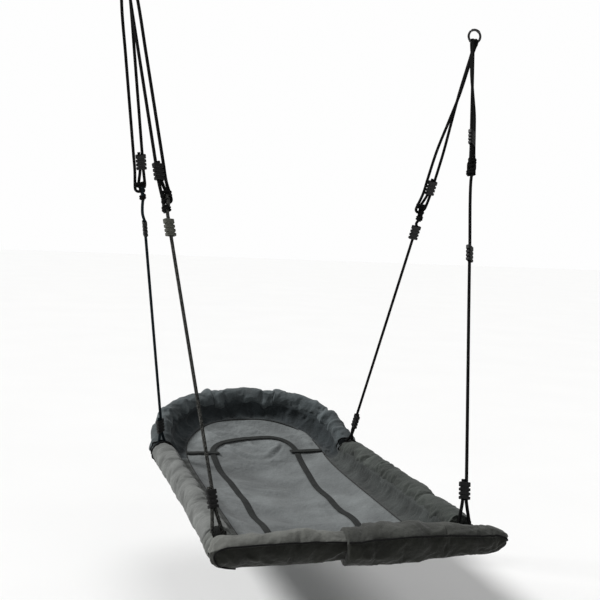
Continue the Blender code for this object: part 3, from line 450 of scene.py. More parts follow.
class Corner:
    """One corner's ropes, laid out by the distance up from the rail, the distance across and
    the turn of the strands round the line of pull."""

    def __init__(self, place, tie, hang, loop, low, middle, link, high, turns, hand, shift):
        self.place, self.tie, self.hang, self.loop = place, tie, hang, loop
        self.up = (hang - tie).normalized()
        self.length = (hang - tie).length
        self.across = (Vector((1, 0, 0)) - self.up * self.up.x).normalized()
        self.through = self.up.cross(self.across)
        self.low, self.middle, self.link, self.high = low, middle, link, high
        self.hand, self.shift = hand, shift * hand
        turns = map(math.radians, turns)
        self.low_turn, self.middle_turn, self.eye_turn, self.sling_turn, self.high_turn = turns

    def side(self, turn):
        return self.across * math.cos(turn) + self.through * math.sin(turn)

    def spot(self, up, across, turn):
        return self.tie + self.up * up + self.side(turn) * across

    def twist(self, start, end, count):
        if abs(start[2] - end[2]) < 0.01:
            return []
        between = []
        for k in range(1, count):
            part = k / count
            values = [a + (b - a) * part for a, b in zip(start, end)]
            values[2] = start[2] + (end[2] - start[2]) * float(ease(part))
            between.append(self.spot(*values))
        return between

    def rail_loop(self, entry):
        reach = math.hypot(STRAND, entry)
        lift = math.atan2(entry, STRAND) - math.acos(self.loop / reach)
        points = []
        for a in [lift - (math.pi + 2 * lift) * k / 14 for k in range(15)]:
            z = self.loop * math.sin(a)
            lean = (z + math.hypot(z, 0.008)) / 2 / self.up.z
            x = self.loop * math.cos(a) + self.up.x * lean
            points.append(self.tie + Vector((x, self.up.y * lean, z)))
        return points, self.loop * math.sin(lift), self.loop * math.cos(lift)

    def lower_rope(self):
        half, low, turn = COMB_TALL / 2, self.low_turn, self.eye_turn
        eye = self.link + LINK - EYE
        points = [self.spot(self.link - d, x, turn)
                  for d, x in ((EYE_DOWN, -0.0096), (0.031, -0.0104), (0.020, -EYE))]
        points += [self.spot(t, x, turn) for t, x in bend(eye, EYE, math.pi, 0, 8)]
        points += [self.spot(self.link - d, x, turn)
                   for d, x in ((0.020, EYE), (0.030, 0.0070), (EYE_DOWN, 0.0014))]
        if "far" in self.place:
            slack = (self.link - EYE_DOWN - self.middle - half) / 3
            points += [self.spot(self.middle + half + slack * k, x, 0)
                       for k, x in ((2, -0.0035), (1, -0.0045))]
        points += [self.spot(self.middle + half, 0, 0), self.spot(self.middle - half, 0, 0)]
        points += [self.spot(self.low + half, STRAND, low), self.spot(self.low - half, STRAND, low)]
        loop, lift, reach = self.rail_loop((self.low - half) * self.up.z)
        foot, door = (lift / self.up.z, reach, 0.0), (self.low - half, STRAND, low)
        points += self.twist(door, foot, 6) + loop
        points += self.twist((foot[0], -reach, 0.0), (door[0], -STRAND, low), 6)
        ends = (self.low - half, self.low + half + TAIL)
        return points + [self.spot(t, -STRAND, low) for t in ends]

    def over_ring(self, low, first, last, turn):
        """Up to the ring, over its wire and down again. The strands lie one behind the other
        at the top and open out toward the adjuster."""
        over, beside = WIRE + ROPE + 0.0004, 0.0053 * (-1 if "near" in self.place else 1)
        way = Vector((0, 1 if self.hand > 0 else -1, 0))
        middle = self.hang + Vector((beside, 0, 0))
        down = -self.up
        turned = [middle + way * over * math.cos(a) + Vector((0, 0, 1)) * over * math.sin(a)
                  for a in np.linspace(-0.2, math.pi + 0.2, 10)]
        necks = []
        for side, x in ((1, first), (-1, last)):
            neck = []
            for share in (0.10, 0.20, 0.36, 0.56, 0.78):
                t = self.length - (self.length - low) * share
                opens = (share + 0.04) / 0.40 if "left" in self.place else (share - 0.28) / 0.60
                spread = float(ease(opens))
                behind = self.tie + self.up * t + way * side * PAIR
                aside = self.spot(t, x, turn)
                neck.append(behind.lerp(aside, spread) + Vector((beside, 0, 0)) * (1 - spread))
            necks.append([middle + down * 0.030 + way * side * 0.0062, *neck])
        return necks[0][::-1] + turned + necks[1]

    def sling(self):
        half, hand, turn = COMB_TALL / 2, self.hand, self.high_turn
        inner, outer, passing = (x * hand + self.shift for x in (-STRAND, STRAND, -OUTSIDE))
        low = self.link + EYE
        inside, other = (low, -EYE * hand, self.sling_turn), (low, EYE * hand, self.sling_turn)
        door = (self.high - half, inner, turn)
        points = [self.spot(self.high + half + TAIL, inner, turn), self.spot(*door)]
        points += self.twist(door, inside, 6)
        points += [self.spot(t, -x * hand, self.sling_turn)
                   for t, x in bend(low, EYE, 0, -math.pi, 8)]
        points += self.twist(other, (door[0], outer, turn), 6)
        points += [self.spot(t, outer, turn) for t in (self.high - half, self.high + half)]
        points += self.over_ring(self.high + half, outer, passing, turn)
        points += [self.spot(t, passing, turn)
                   for t in (self.high + half + 0.004, self.high - half - 0.002)]
        foot, side = self.link + 0.0007, OUTSIDE - 0.0005
        end = (foot, -side * hand, self.sling_turn)
        points += self.twist((self.high - half - 0.002, passing, turn), end, 6)
        points += [self.spot(t, (x - side + HOOK) * hand, self.sling_turn)
                   for t, x in bend(foot, HOOK, math.pi, 1.5 * math.pi, 4)]
        return points + [self.spot(foot - HOOK, 0.009 * hand, self.sling_turn)]


def rounded(half_wide, half_thick, corner, count=7):
    """A rectangle with round corners, from the middle of its right side, anticlockwise."""
    points = [(half_wide, 0.0)]
    for k, (x, y) in enumerate(((1, 1), (-1, 1), (-1, -1), (1, -1))):
        for a in np.linspace(0, math.pi / 2, count) + k * math.pi / 2:
            middle = x * (half_wide - corner), y * (half_thick - corner)
            points.append((middle[0] + corner * math.cos(a), middle[1] + corner * math.sin(a)))
        if k == 1:
            points.append((-half_wide, 0.0))
    return points


def comb(name, centre, up, across, body, material):
    """A comb adjuster with eased fins round a slotted core."""
    through = up.cross(across)
    core = (COMB_CORE / 2, COMB_CORE_THICK / 2, 0.0030)
    fin = (COMB_WIDE / 2, COMB_THICK / 2, 0.0045)
    soft = 0.0010
    thin = (fin[0] - soft, fin[1] - soft, fin[2] - soft * 0.6)
    levels, top = [], COMB_TALL / 2
    edges = [(top, top - COMB_TOP_FIN)]
    for k in range(3):
        high = top - COMB_TOP_FIN - (COMB_PITCH - COMB_FIN) - k * COMB_PITCH
        edges.append((high, high - COMB_FIN))
    for k, (high, low) in enumerate(edges):
        if k:
            levels.append((high, core))
        levels += [(high, thin), (high - soft, fin), (low + soft, fin), (low, thin)]
        if k < 3:
            levels.append((low, core))
    slot = rounded(STRAND + SLOT, SLOT, SLOT - 0.0001)
    rings = [[centre + across * x + through * y + up * z for x, y in rounded(*size)]
             for z, size in levels]
    first, last = levels[0][0], levels[-1][0]
    inner = [(last, 1.10), (last + 0.0012, 1.0), (first - 0.0012, 1.0), (first, 1.10)]
    rings += [[centre + across * x * k + through * y * k + up * z for x, y in slot]
              for z, k in inner]
    m, n = len(slot), len(rings)
    faces = []
    for i in range(n):
        for j in range(m):
            row, far, column = i * m, (i + 1) % n * m, (j + 1) % m
            faces.append([far + j, far + column, row + column, row + j])
    obj = mesh_piece(name, [tuple(p) for ring in rings for p in ring], faces, body,
                     material=material)
    obj.data.set_sharp_from_angle(angle=math.radians(32))
    return obj


def wraps(name, centre, axis, across, wide, deep, turns, rope, body, material, tall=None):
    """Turns of rope bound round a bundle."""
    through = axis.cross(across)
    tall = tall or turns * rope * 2.05
    points = []
    count = int(20 * turns)
    for k in range(count + 1):
        a = 2 * math.pi * turns * k / count
        aside = across * wide * math.cos(a) + through * deep * math.sin(a)
        points.append(centre + axis * (tall * (k / count - 0.5)) + aside)
    return tube_mesh(name, points, rope, 10, body=body, material=material)


CORNERS = [
    Corner("near_left", Vector((-HALF_WIDTH, NEAR_TIE, 0)), LEFT_HANG, 0.0188,
           0.118, 0.888, 0.975, 1.055, (30, 30, -60, 30, 30), -1, 0.009),
    Corner("near_right", Vector((HALF_WIDTH, NEAR_TIE, 0)), RIGHT_HANG, 0.0212,
           0.117, 0.859, 1.170, 1.263, (0, 45, -45, 45, 45), -1, 0.003),
    Corner("far_left", Vector((-HALF_WIDTH, FAR_TIE, 0)), LEFT_HANG, 0.0188,
           0.109, 0.860, 1.000, 1.088, (45, 90, 90, 0, 0), 1, 0.004),
    Corner("far_right", Vector((HALF_WIDTH, FAR_TIE, 0)), RIGHT_HANG, 0.0212,
           0.121, 0.899, 0.985, 1.070, (90, 0, 90, 0, 0), 1, 0.009),
]
LOWER_LOOKS = {"near_left": ROPE_FLECKED, "far_left": ROPE_BLUE}


for corner in CORNERS:
    body = "left_ropes" if "left" in corner.place else "right_ropes"
    combs = {}
    for level, t, x, turned in (("low", corner.low, 0, corner.low_turn),
                                ("middle", corner.middle, 0, corner.middle_turn),
                                ("high", corner.high, corner.shift, corner.high_turn)):
        name = f"{corner.place}_adjuster_{level}"
        look = COMB_GREY if name == "near_left_adjuster_middle" else COMB
        piece = comb("comb_" + name, corner.spot(t, x, turned), corner.up, corner.side(turned),
                     body, look)
        combs[level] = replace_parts(piece, name)
    look = LOWER_LOOKS.get(corner.place, ROPE_BLACK)
    for kind, points, parts, node in (
            ("lower", corner.lower_rope(), (combs["low"], combs["middle"]), corner.place + "_rope"),
            ("upper", corner.sling(), (combs["high"],), corner.place + "_sling")):
        path = smooth_line(points, 0.006)
        material = look if kind == "lower" else ROPE_BLACK
        piece = tube_mesh(f"{corner.place}_{kind}_rope", path, ROPE, 12, body=body,
                          material=material)
        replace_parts(piece, node)
        row = [p + SEAT for p in path]
    # bindings where the eye's tail and the upper rope's end lie beside their own ropes
    for kind, t, x, turn, wide, deep, turns, rope in (
            ("eye_binding", corner.link - 0.030, -0.0015, corner.eye_turn,
             0.0128, 0.0082, 2, 0.0036),
            ("eye_waist", corner.link - 0.007, 0, corner.eye_turn, 0.0122, 0.0076, 1.5, 0.0034),
            ("sling_knot", corner.link + 0.012, -0.006 * corner.hand, corner.sling_turn,
             0.0160, 0.0086, 2, 0.0044)):
        wraps(f"{corner.place}_{kind}", corner.spot(t, x, turn), corner.up, corner.side(turn),
              wide, deep, turns, rope, body, ROPE_BLACK)


# --- rings and their hitches -----------------------------------------------------------------

def turned_out(radius, a):
    return Vector((radius * math.cos(a), 0, radius * math.sin(a)))


def link_plate(name, centre, start, end, half, y0, y1, body):
    """A flat link along the ring, round at the pin."""
    points = [turned_out(RING - half, a) for a in run(start, end, 0.05)]
    pin = turned_out(RING, end)
    way = 1 if end > start else -1
    for k in range(1, 16):
        a = end + math.pi - way * math.pi * k / 16
        points.append(pin + turned_out(half, a))
    points += [turned_out(RING + half, a) for a in run(end, start, 0.05)]
    n = len(points)
    rings = []
    eased = 0.0003
    for y, shrink in ((y0, eased), (y0 + eased, 0), (y1 - eased, 0), (y1, eased)):
        middle = sum(points, Vector()) / n
        rings += [tuple(centre + p + (middle - p).normalized() * shrink + Vector((0, y, 0)))
                  for p in points]
    faces = [list(range(n)), [3 * n + k for k in range(n)][::-1]]
    for i in range(3):
        for j in range(n):
            row, far, column = i * n, (i + 1) * n, (j + 1) % n
            faces.append([row + j, far + j, far + column, row + column])
    if way < 0:
        faces = [f[::-1] for f in faces]
    obj = mesh_piece(name, rings, faces, body, material=POLISHED)
    obj.data.set_sharp_from_angle(angle=math.radians(30))
    return obj


def wire(name, centre, start, end, radius, body):
    def rounded_end(t):
        edge = min(t, 1 - t) * (end - start) * RING
        return radius - 0.0009 * (1 - float(ease(edge / 0.0012)))

    path = smooth_line([centre + turned_out(RING, a) for a in run(start, end, 0.09)], 0.0015)
    return tube_mesh(name, path, rounded_end, 20, body=body, material=POLISHED)


def rivet_radius(t):
    return 0.0013 if 0.04 < t < 0.96 else 0.0008


axis = (RIGHT_HANG - LEFT_HANG).normalized()
for side, hang in (("left", LEFT_HANG), ("right", RIGHT_HANG)):
    centre = hang + Vector((0, 0, RING))
    gate = side + "_gate"
    body_wire = wire(side + "_ring_wire", centre, NOSE_AT, HEEL_AT, WIRE, "rings")
    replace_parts(body_wire, side + "_ring_body")
    link_plate(side + "_ring_tongue", centre, math.radians(24), PIN_AT,
               0.0037, -0.0016, 0.0016, "rings")
    gate_wire = wire(side + "_ring_latch", centre, GATE_HEEL, GATE_TIP, WIRE + 0.0003, gate)
    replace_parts(gate_wire, side + "_ring_gate")
    for k, (y0, y1) in enumerate(((-0.0040, -0.0021), (0.0021, 0.0040))):
        link_plate(f"{side}_ring_ear_{k + 1}", centre, math.radians(65), PIN_AT,
                   0.0036, y0, y1, gate)
    pin = centre + turned_out(RING, PIN_AT)
    rod = [pin + Vector((0, y, 0)) for y in (-0.0048, -0.0045, -0.0041, 0.0041, 0.0045, 0.0048)]
    rivet = tube_mesh(side + "_ring_rivet", rod, rivet_radius, 16, body="rings", material=ZINC)
    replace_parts(rivet, side + "_ring_pin")
    hitch = wraps(side + "_hitch_turns", hang, axis, Vector((0, 1, 0)), 0.0084, 0.0084, 3, 0.0034,
                  side + "_hitch", ROPE_BLACK, 0.0250)
    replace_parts(hitch, side + "_ring_hitch")


# --- the frame's routes and the deck ---------------------------------------------------------

def head_point(turn):
    """A point of the raised head tube, by its turn from the right side."""
    power = 2 / HEAD_POWER
    x = HALF_WIDTH * math.copysign(abs(math.cos(turn)) ** power, math.cos(turn))
    v = HEAD_DEPTH * math.sin(turn) ** power
    return Vector((x, RAIL_END + v * math.cos(HEAD_RISE), v * math.sin(HEAD_RISE)))


def rim_points():
    """The rails and the head tube in one line, from the near left corner to the near right one."""
    half = [Vector((-HALF_WIDTH, y, 0)) for y in (0.0, 0.6, 1.12)]
    reach = BEND * math.tan(HEAD_RISE / 2)
    for k in range(4):
        a = HEAD_RISE * k / 3
        y = RAIL_END - reach + BEND * math.sin(a)
        half.append(Vector((-HALF_WIDTH, y, BEND * (1 - math.cos(a)))))
    begin = math.asin((2.2 * reach / HEAD_DEPTH) ** (HEAD_POWER / 2))
    half += [head_point(math.pi - a) for a in run(begin, math.pi / 2, 0.17)]
    return half + [Vector((-p.x, p.y, p.z)) for p in reversed(half[:-1])]


RIM = Route(rim_points(), (0, 0, 1))
ACROSS = Route([(NEAR_LEFT, 0, -NEAR_DROP), (NEAR_RIGHT, 0, -NEAR_DROP)], (0, 0, 1))


def at_x(x):
    """The distance along the rim where the head arc crosses a place across."""
    low, high = 1.3, RIM.length / 2
    for _ in range(40):
        middle = (low + high) / 2
        if RIM.frame(middle)[0].x < -abs(x):
            low = middle
        else:
            high = middle
    return low if x < 0 else RIM.length - low


def deck(x, y):
    """The deck's height: level, then rising with half the head's slope, and sagging between the
    seams."""
    rise = math.tan(HEAD_RISE) * (y - RAIL_END) / 2
    sag = SAG * np.maximum(0.0, 1 - (x / SEAM_HALF) ** 2) * ease(y / 0.3) * ease((1.36 - y) / 0.6)
    return rise + np.hypot(rise, 0.03) - DECK_DROP - sag


def seam_point(turn, grow=0.0):
    """A point of the seam's curve at the head, seen from above."""
    power = 2 / SEAM_POWER
    x = (SEAM_HALF + grow) * math.copysign(abs(math.cos(turn)) ** power, math.cos(turn))
    return Vector((x, SEAM_START + (SEAM_RISE + grow) * math.sin(turn) ** power, 0))


# --- padded covers ---------------------------------------------------------------------------

HALF_TURN = np.pi
CAP = 0.011  # the most that the simulation may move a point
SEWN_FROM = 2.75  # the cloth is held below this turn from the top, where it is sewn
LAST_FRAME = 20
STEP, AROUND = 0.0062, 44  # between a cover's rows, and points in each
BLOWN = 0.003  # a case is this much smaller than its cover, for the cloth is blown up
WAITING = []


def bolster(name, route, profile, around, tint, fold, seed, growth):
    """A stuffed cover turned round a route: profile has (distance, radius) pairs. Its cloth opens
    at the bottom, where it is sewn, and is laid out by length along and round it."""
    angles = np.linspace(-HALF_TURN, HALF_TURN, around, endpoint=False)
    points = []
    for s, r in profile:
        p, way, up = route.frame(s)
        side = way.cross(up)
        points.append([tuple(p + (up * math.cos(a) + side * math.sin(a)) * r) for a in angles])
    points = np.array(points)
    along, size = [s for s, _ in profile], max(r for _, r in profile)
    gaps = [0.0] + [math.hypot(b[0] - a[0], b[1] - a[1]) for a, b in zip(profile, profile[1:])]
    u = np.repeat(np.cumsum(gaps)[:, None], around, 1)
    v = np.repeat(np.linspace(-HALF_TURN, HALF_TURN, around + 1)[None] * size, len(profile), 0)
    piece = dict(name=name, points=points, u=u, v=v, s=np.array(along), a=angles, tint=tint,
                 fold=fold, seed=seed, growth=growth)
    WAITING.append(piece)
    return piece


def simulate(pieces):
    """Blows all the covers up as cloth, each a little larger than its case so that it buckles,
    and keeps how far each point went."""
    scene = bpy.context.scene
    made = []
    for piece in pieces:
        n, m = piece["points"].shape[:2]
        faces, _ = grid_faces(n, m, True)
        mesh = bpy.data.meshes.new("cloth_work")
        mesh.from_pydata(piece["points"].reshape(-1, 3).tolist(), [], faces)
        obj = bpy.data.objects.new("cloth_work", mesh)
        scene.collection.objects.link(obj)
        held = obj.vertex_groups.new(name="held")
        fixed = np.zeros((n, m), bool)
        fixed[:3], fixed[-3:] = True, True
        fixed[:, np.abs(piece["a"]) > SEWN_FROM] = True
        held.add(np.flatnonzero(fixed.ravel()).tolist(), 1.0, "REPLACE")
        cloth = obj.modifiers.new("cloth", "CLOTH")
        cloth.settings.vertex_group_mass = "held"
        cloth.settings.quality = 5
        cloth.settings.mass = 0.2
        cloth.settings.tension_stiffness = cloth.settings.compression_stiffness = 18
        cloth.settings.shear_stiffness = 6
        cloth.settings.bending_stiffness = 0.12
        cloth.settings.shrink_min = -piece["growth"]
        cloth.settings.use_pressure = True
        cloth.settings.uniform_pressure_force = 4.0
        cloth.settings.effector_weights.gravity = 0.0
        cloth.point_cache.frame_start, cloth.point_cache.frame_end = 1, LAST_FRAME
        made.append(obj)
    for k in range(1, LAST_FRAME + 1):
        scene.frame_set(k)
    graph = bpy.context.evaluated_depsgraph_get()
    for piece, obj in zip(pieces, made):
        mesh = obj.evaluated_get(graph).to_mesh()
        moved = np.empty(len(mesh.vertices) * 3, np.float32)
        mesh.vertices.foreach_get("co", moved)
        move = moved.reshape(piece["points"].shape) - piece["points"]
        far = np.linalg.norm(move, axis=2, keepdims=True)
        piece["points"] = piece["points"] + move * np.minimum(1.0, CAP / np.maximum(far, 1e-9))
        obj.evaluated_get(graph).to_mesh_clear()
    for obj in made:
        mesh = obj.data
        bpy.data.objects.remove(obj)
        bpy.data.meshes.remove(mesh)
    scene.frame_set(1)


def wear_and_fold_shade(height, depth):
    """Painted light and shade: paler where folds stand up, darker in the creases, where shade
    falls.
    """
    return 1 + depth * np.clip((height - height.mean()) / (2 * height.std() + 1e-9), -1, 1)


def finish_bolster(piece):
    """Adds the fine folds and makes the piece."""
    points, u = piece["points"], piece["u"]
    v = piece["v"][:, :-1]
    normal = grid_normals(points, True)
    height = piece["fold"](u, v, piece)
    window = ease((HALF_TURN - np.abs(piece["a"])) / 0.5)[None]
    points = points + normal * (height * window)[..., None]
    piece["points"] = points
    # painted light and shade: the cover's tint is made paler on the ridges of its folds and darker
    # in their creases
    tint = piece["tint"](u, v, piece) * wear_and_fold_shade(height, 0.17)[..., None]
    obj = grid_piece(piece["name"], points, u, piece["v"], wrap=True, tint=tint, material=CLOTH)
    close_bolster(obj)
    soft = obj.modifiers.new("soft", "SUBSURF")
    soft.levels = soft.render_levels = 1
    return obj


def close_bolster(obj):
    """A small inner skin at each open end, so that the cover is one closed body."""
    bm = bmesh.new()
    bm.from_mesh(obj.data)
    bm.verts.ensure_lookup_table()
    loose = [e for e in bm.edges if e.is_boundary]
    bmesh.ops.holes_fill(bm, edges=loose, sides=0)
    bmesh.ops.recalc_face_normals(bm, faces=bm.faces)
    bm.to_mesh(obj.data)
    bm.free()


def shut_end(s, way, radius, reach=0.013):
    """(distance, radius) pairs of a cover's gathered end, from the tube out."""
    pairs = [(s + way * 0.0045, LIP - 0.0005), (s + way * 0.0015, 0.0215), (s, 0.0270)]
    for k in range(1, 6):
        a = math.pi / 2 * k / 5
        pairs.append((s + way * reach * (1 - math.cos(a)), radius - reach * (1 - math.sin(a))))
    return pairs


def side_profile(s0, s1, radius, shut):
    """(distance, radius) pairs of a cover, each end gathered shut or sewn to its neighbour."""
    lips = ((0.0, 0.0060), (0.0015, 0.0035), (0.0040, 0.0010), (0.0080, 0.0))
    seam = [(d, radius - lower) for d, lower in lips]
    begin = shut_end(s0, 1, radius) if shut[0] else [(s0 + d, r) for d, r in seam]
    end = shut_end(s1, -1, radius)[::-1] if shut[1] else [(s1 - d, r) for d, r in seam[::-1]]
    middle = run(begin[-1][0], end[0][0], STEP)[1:-1]
    return begin + [(s, radius) for s in middle] + end


def blotch(u, v, seed, size, depth):
    return 1 + depth * waves(u, v, seed, size)


def pleats(piece, strength=0.0016, count=17):
    """Gathers at the shut ends, fading along the cover."""
    u, a = piece["u"], piece["a"][None]
    ends = np.minimum(u, u.max() - u)
    wander = 0.6 * np.sin(3 * a + piece["seed"])
    return strength * np.cos(count * a + wander) * np.exp(-((ends - 0.026) / 0.018) ** 2)


def side_folds(u, v, piece):
    """Long shallow folds on a side cover, running slantwise from the seam."""
    seed, heavy = piece["seed"], piece["heavy"]
    inner = ease((v - 0.004) / 0.05)
    height = 0.0055 * heavy * folds(u, v, seed, 0.055, 1.05) * (0.35 + 0.65 * inner)
    height += 0.0042 * heavy * folds(u, v, seed + 5, 0.032, 0.62)
    height += 0.0026 * folds(u, v, seed + 9, 0.019, 0.25) * (0.4 + 0.6 * inner)
    height += 0.0012 * waves(u, v, seed + 3, 0.09)
    return height - 0.0022 * heavy + pleats(piece)


def head_folds(u, v, piece):
    """Broad folds across the head's covers, with finer ones over them."""
    seed = piece["seed"]
    height = 0.0085 * folds(u, v, seed, 0.075, 0.35, 2.0)
    height += 0.0045 * folds(u, v, seed + 4, 0.040, -0.5)
    height += 0.0030 * folds(u, v, seed + 8, 0.022, 1.2) + 0.0015 * waves(u, v, seed + 2, 0.10)
    return height - 0.0028


def near_folds(u, v, piece):
    seed = piece["seed"]
    height = 0.0065 * folds(u, v, seed, 0.060, 1.32, 2.2)
    height += 0.0040 * folds(u, v, seed + 6, 0.035, 1.05)
    return height + 0.0016 * waves(u, v, seed + 2, 0.08) - 0.0026


def shaded(colour, shade):
    """A grid of one colour, lighter and darker by the grid of shades."""
    return np.array(colour)[None, None] * shade[..., None]


def plain_tint(colour, depth):
    return lambda u, v, piece: shaded(colour, blotch(u, v, piece["seed"] + 20, 0.16, depth))


LEFT_LOOK, RIGHT_LOOK = (0.136, 0.142, 0.136), (0.046, 0.052, 0.047)
HEAD_LOOK = (0.072, 0.085, 0.089)
FAR_REACH, HEAD_REACH, LAP = SIDE_END + 0.036, HEAD_START - 0.013, 0.004


def rim_cover(name, s0, s1, radius, shut, look, depth, fold, seed, growth):
    profile = side_profile(s0, s1, radius - BLOWN, shut)
    return bolster(name, RIM, profile, AROUND, plain_tint(look, depth), fold, seed, growth)


def head_cover(name, s0, s1, shut, depth, seed, growth):
    return rim_cover("padding_head_" + name, s0, s1, HEAD_COVER, shut, HEAD_LOOK, depth, head_folds,
                     seed, growth)


END, SPLIT = RIM.length, at_x(-HEAD_SPLIT)
left = rim_cover("padding_left", SIDE_START, FAR_REACH, SIDE_COVER, (True, True), LEFT_LOOK, 0.07,
                 side_folds, 11, 0.05)
right = rim_cover("padding_right", END - FAR_REACH, END - SIDE_START, SIDE_COVER, (True, True),
                  RIGHT_LOOK, 0.14, side_folds, 23, 0.08)
left["heavy"], right["heavy"] = 0.55, 1.5
heads = [
    head_cover("left", HEAD_REACH, SPLIT + LAP, (True, False), 0.12, 31, 0.07),
    head_cover("middle", SPLIT - LAP, END - SPLIT + LAP, (False, False), 0.10, 37, 0.05),
    head_cover("right", END - SPLIT - LAP, END - HEAD_REACH, (False, True), 0.12, 43, 0.08),
]


EDGE = math.radians(60)  # the near piping's turn from the top, on the front


def round_end(to_end, radius, reach, power):
    """The radius at a distance from a domed end."""
    if to_end >= reach:
        return radius
    part = 1 - to_end / reach
    return radius * math.sqrt(max(0.0, 1 - part**power))


def left_radius(s):
    return round_end(s, 0.0440 - 0.0050 * float(ease((s - 0.22) / 0.14)), 0.036, 2.2)


def right_radius(s):
    x = s + NEAR_LEFT
    swell = 0.047 + 0.009 * float(ease((0.26 - x) / 0.12)) - 0.001 * float(ease((0.06 - x) / 0.09))
    swell -= 0.007 * float(ease((x - 0.25) / 0.15))
    return round_end(min(s, ACROSS.length - s), swell, 0.052, 2.3)


def two_tone_under_shade(above, below):
    """Paler cloth above the piping on the front, darker below it; the darker colour below is partly
    the cloth's own and partly painted shade of the front and underside.
    """
    def tint(u, v, piece):
        down = ease((piece["a"][None] - EDGE - 0.02) / 0.06) * np.ones_like(u)
        mix = shaded(above, 1 - down) + shaded(below, down)
        return mix * blotch(u, v, piece["seed"] + 20, 0.14, 0.08)[..., None]
    return tint


# rows from a domed end, closer together where it curves most
tip = [0.0006, 0.002, 0.0045, 0.008, 0.0125, 0.018, 0.0245]
sleeve_at = SLEEVE_START - NEAR_LEFT
near_left_at = tip + run(0.031, sleeve_at + 0.090, STEP)
long_run = ACROSS.length
near_right_at = run(sleeve_at, long_run - 0.031, STEP) + [long_run - t for t in tip[::-1]]


def near_cover(name, at, radius_at, around, above, below, seed, growth):
    profile = [(s, max(radius_at(s) - 0.002, 0.0015)) for s in at]
    return bolster(name, ACROSS, profile, around, two_tone_under_shade(above, below), near_folds, seed, growth)


# the second colour of each near cover, below its piping, is partly painted shade of the front and
# underside
near_left = near_cover("padding_near_left", near_left_at, left_radius, AROUND,
                       (0.142, 0.146, 0.134), (0.011, 0.012, 0.009), 53, 0.04)
near_right = near_cover("padding_near_right", near_right_at, right_radius, 48,
                        (0.050, 0.052, 0.047), (0.012, 0.013, 0.010), 61, 0.05)

simulate(WAITING)
COVERS = {piece["name"]: finish_bolster(piece) for piece in WAITING}
for part in ("left", "right", "head_left", "head_middle", "head_right"):
    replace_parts(COVERS["padding_" + part], "cover_" + part, "foam_" + part)
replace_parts(COVERS["padding_near_left"], "cover_near_left", "foam_near")
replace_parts(COVERS["padding_near_right"], "cover_near_right")


# --- piping ----------------------------------------------------------------------------------

ROUNDED = 8  # rows in a cover's shut end, from shut_end


def round_cover(piece, row, lift=0.0014):
    """Points round a cover at a row."""
    points = piece["points"]
    normal = grid_normals(points, True)
    return [Vector(p) for p in points[row] + normal[row] * lift]


for name, piece, row in (("left_far", left, -ROUNDED), ("right_far", right, ROUNDED - 1),
                         ("head_left", heads[0], ROUNDED - 1), ("head_right", heads[2], -ROUNDED)):
    tube_mesh("piping_" + name, round_cover(piece, row), 0.0028, 8, closed=True, body="seat",
              material=PIPE)


def on_end(piece, s, angle, lift=0.0012):
    """A point on a cover at a distance along it and a turn from the top."""
    points, count = piece["points"], len(piece["a"])
    lifted = points + grid_normals(points, True) * lift
    row = np.interp(s, piece["s"], np.arange(len(piece["s"])))
    column = (angle + HALF_TURN) / (2 * HALF_TURN) * count
    i, j = min(int(row), len(points) - 2), int(column)
    p, q = row - i, column - j
    low = lifted[i, j % count] * (1 - q) + lifted[i, (j + 1) % count] * q
    high = lifted[i + 1, j % count] * (1 - q) + lifted[i + 1, (j + 1) % count] * q
    return Vector(low * (1 - p) + high * p)


def front_piping(name, piece, turned, radius):
    path = smooth_line([on_end(piece, float(s), a) for s, a in turned], 0.005)
    tube_mesh("piping_" + name, path, radius, 8, body="seat", material=PIPE)


UNDER_SLEEVE = 14  # rows of the near left cover, from its far end, without piping
# round the dark front of the near left cover: under its end, up and along to the sleeve
round_cap = ((0.070, 163), (0.050, 158), (0.034, 148), (0.021, 134), (0.012, 115), (0.009, 95),
             (0.012, 78), (0.022, 66), (0.036, 61.5))
turned = [(s, math.radians(a)) for s, a in round_cap]
turned += [(s, EDGE) for s in np.arange(0.050, near_left_at[-UNDER_SLEEVE], 0.012)]
front_piping("near_left_front", near_left, turned, 0.0024)
straight = np.arange(sleeve_at + 0.004, long_run - 0.034, 0.012)
turned = [(s, EDGE - 0.05 * math.sin(9 * s)) for s in straight]
turned += [(long_run - s, math.radians(a)) for s, a in ((0.020, 64), (0.010, 72), (0.005, 88))]
front_piping("near_right_front", near_right, turned, 0.0026)


# --- band and panel --------------------------------------------------------------------------

def seam_by(point):
    """The seam's point across the band from a point of the rim."""
    v = math.hypot(point.y - RAIL_END, point.z) if point.y > RAIL_END else 0.0
    if v < 0.012:
        y = min(point.y, RAIL_END) * SEAM_START / RAIL_END
        return Vector((math.copysign(SEAM_HALF, point.x), y, 0))
    power = HEAD_POWER / 2
    turn = math.atan2((v / HEAD_DEPTH) ** power, (abs(point.x) / HALF_WIDTH) ** power)
    return seam_point(turn if point.x > 0 else math.pi - turn)


PANEL_LAP = 0.004  # the panel reaches this far under the band, past the seam


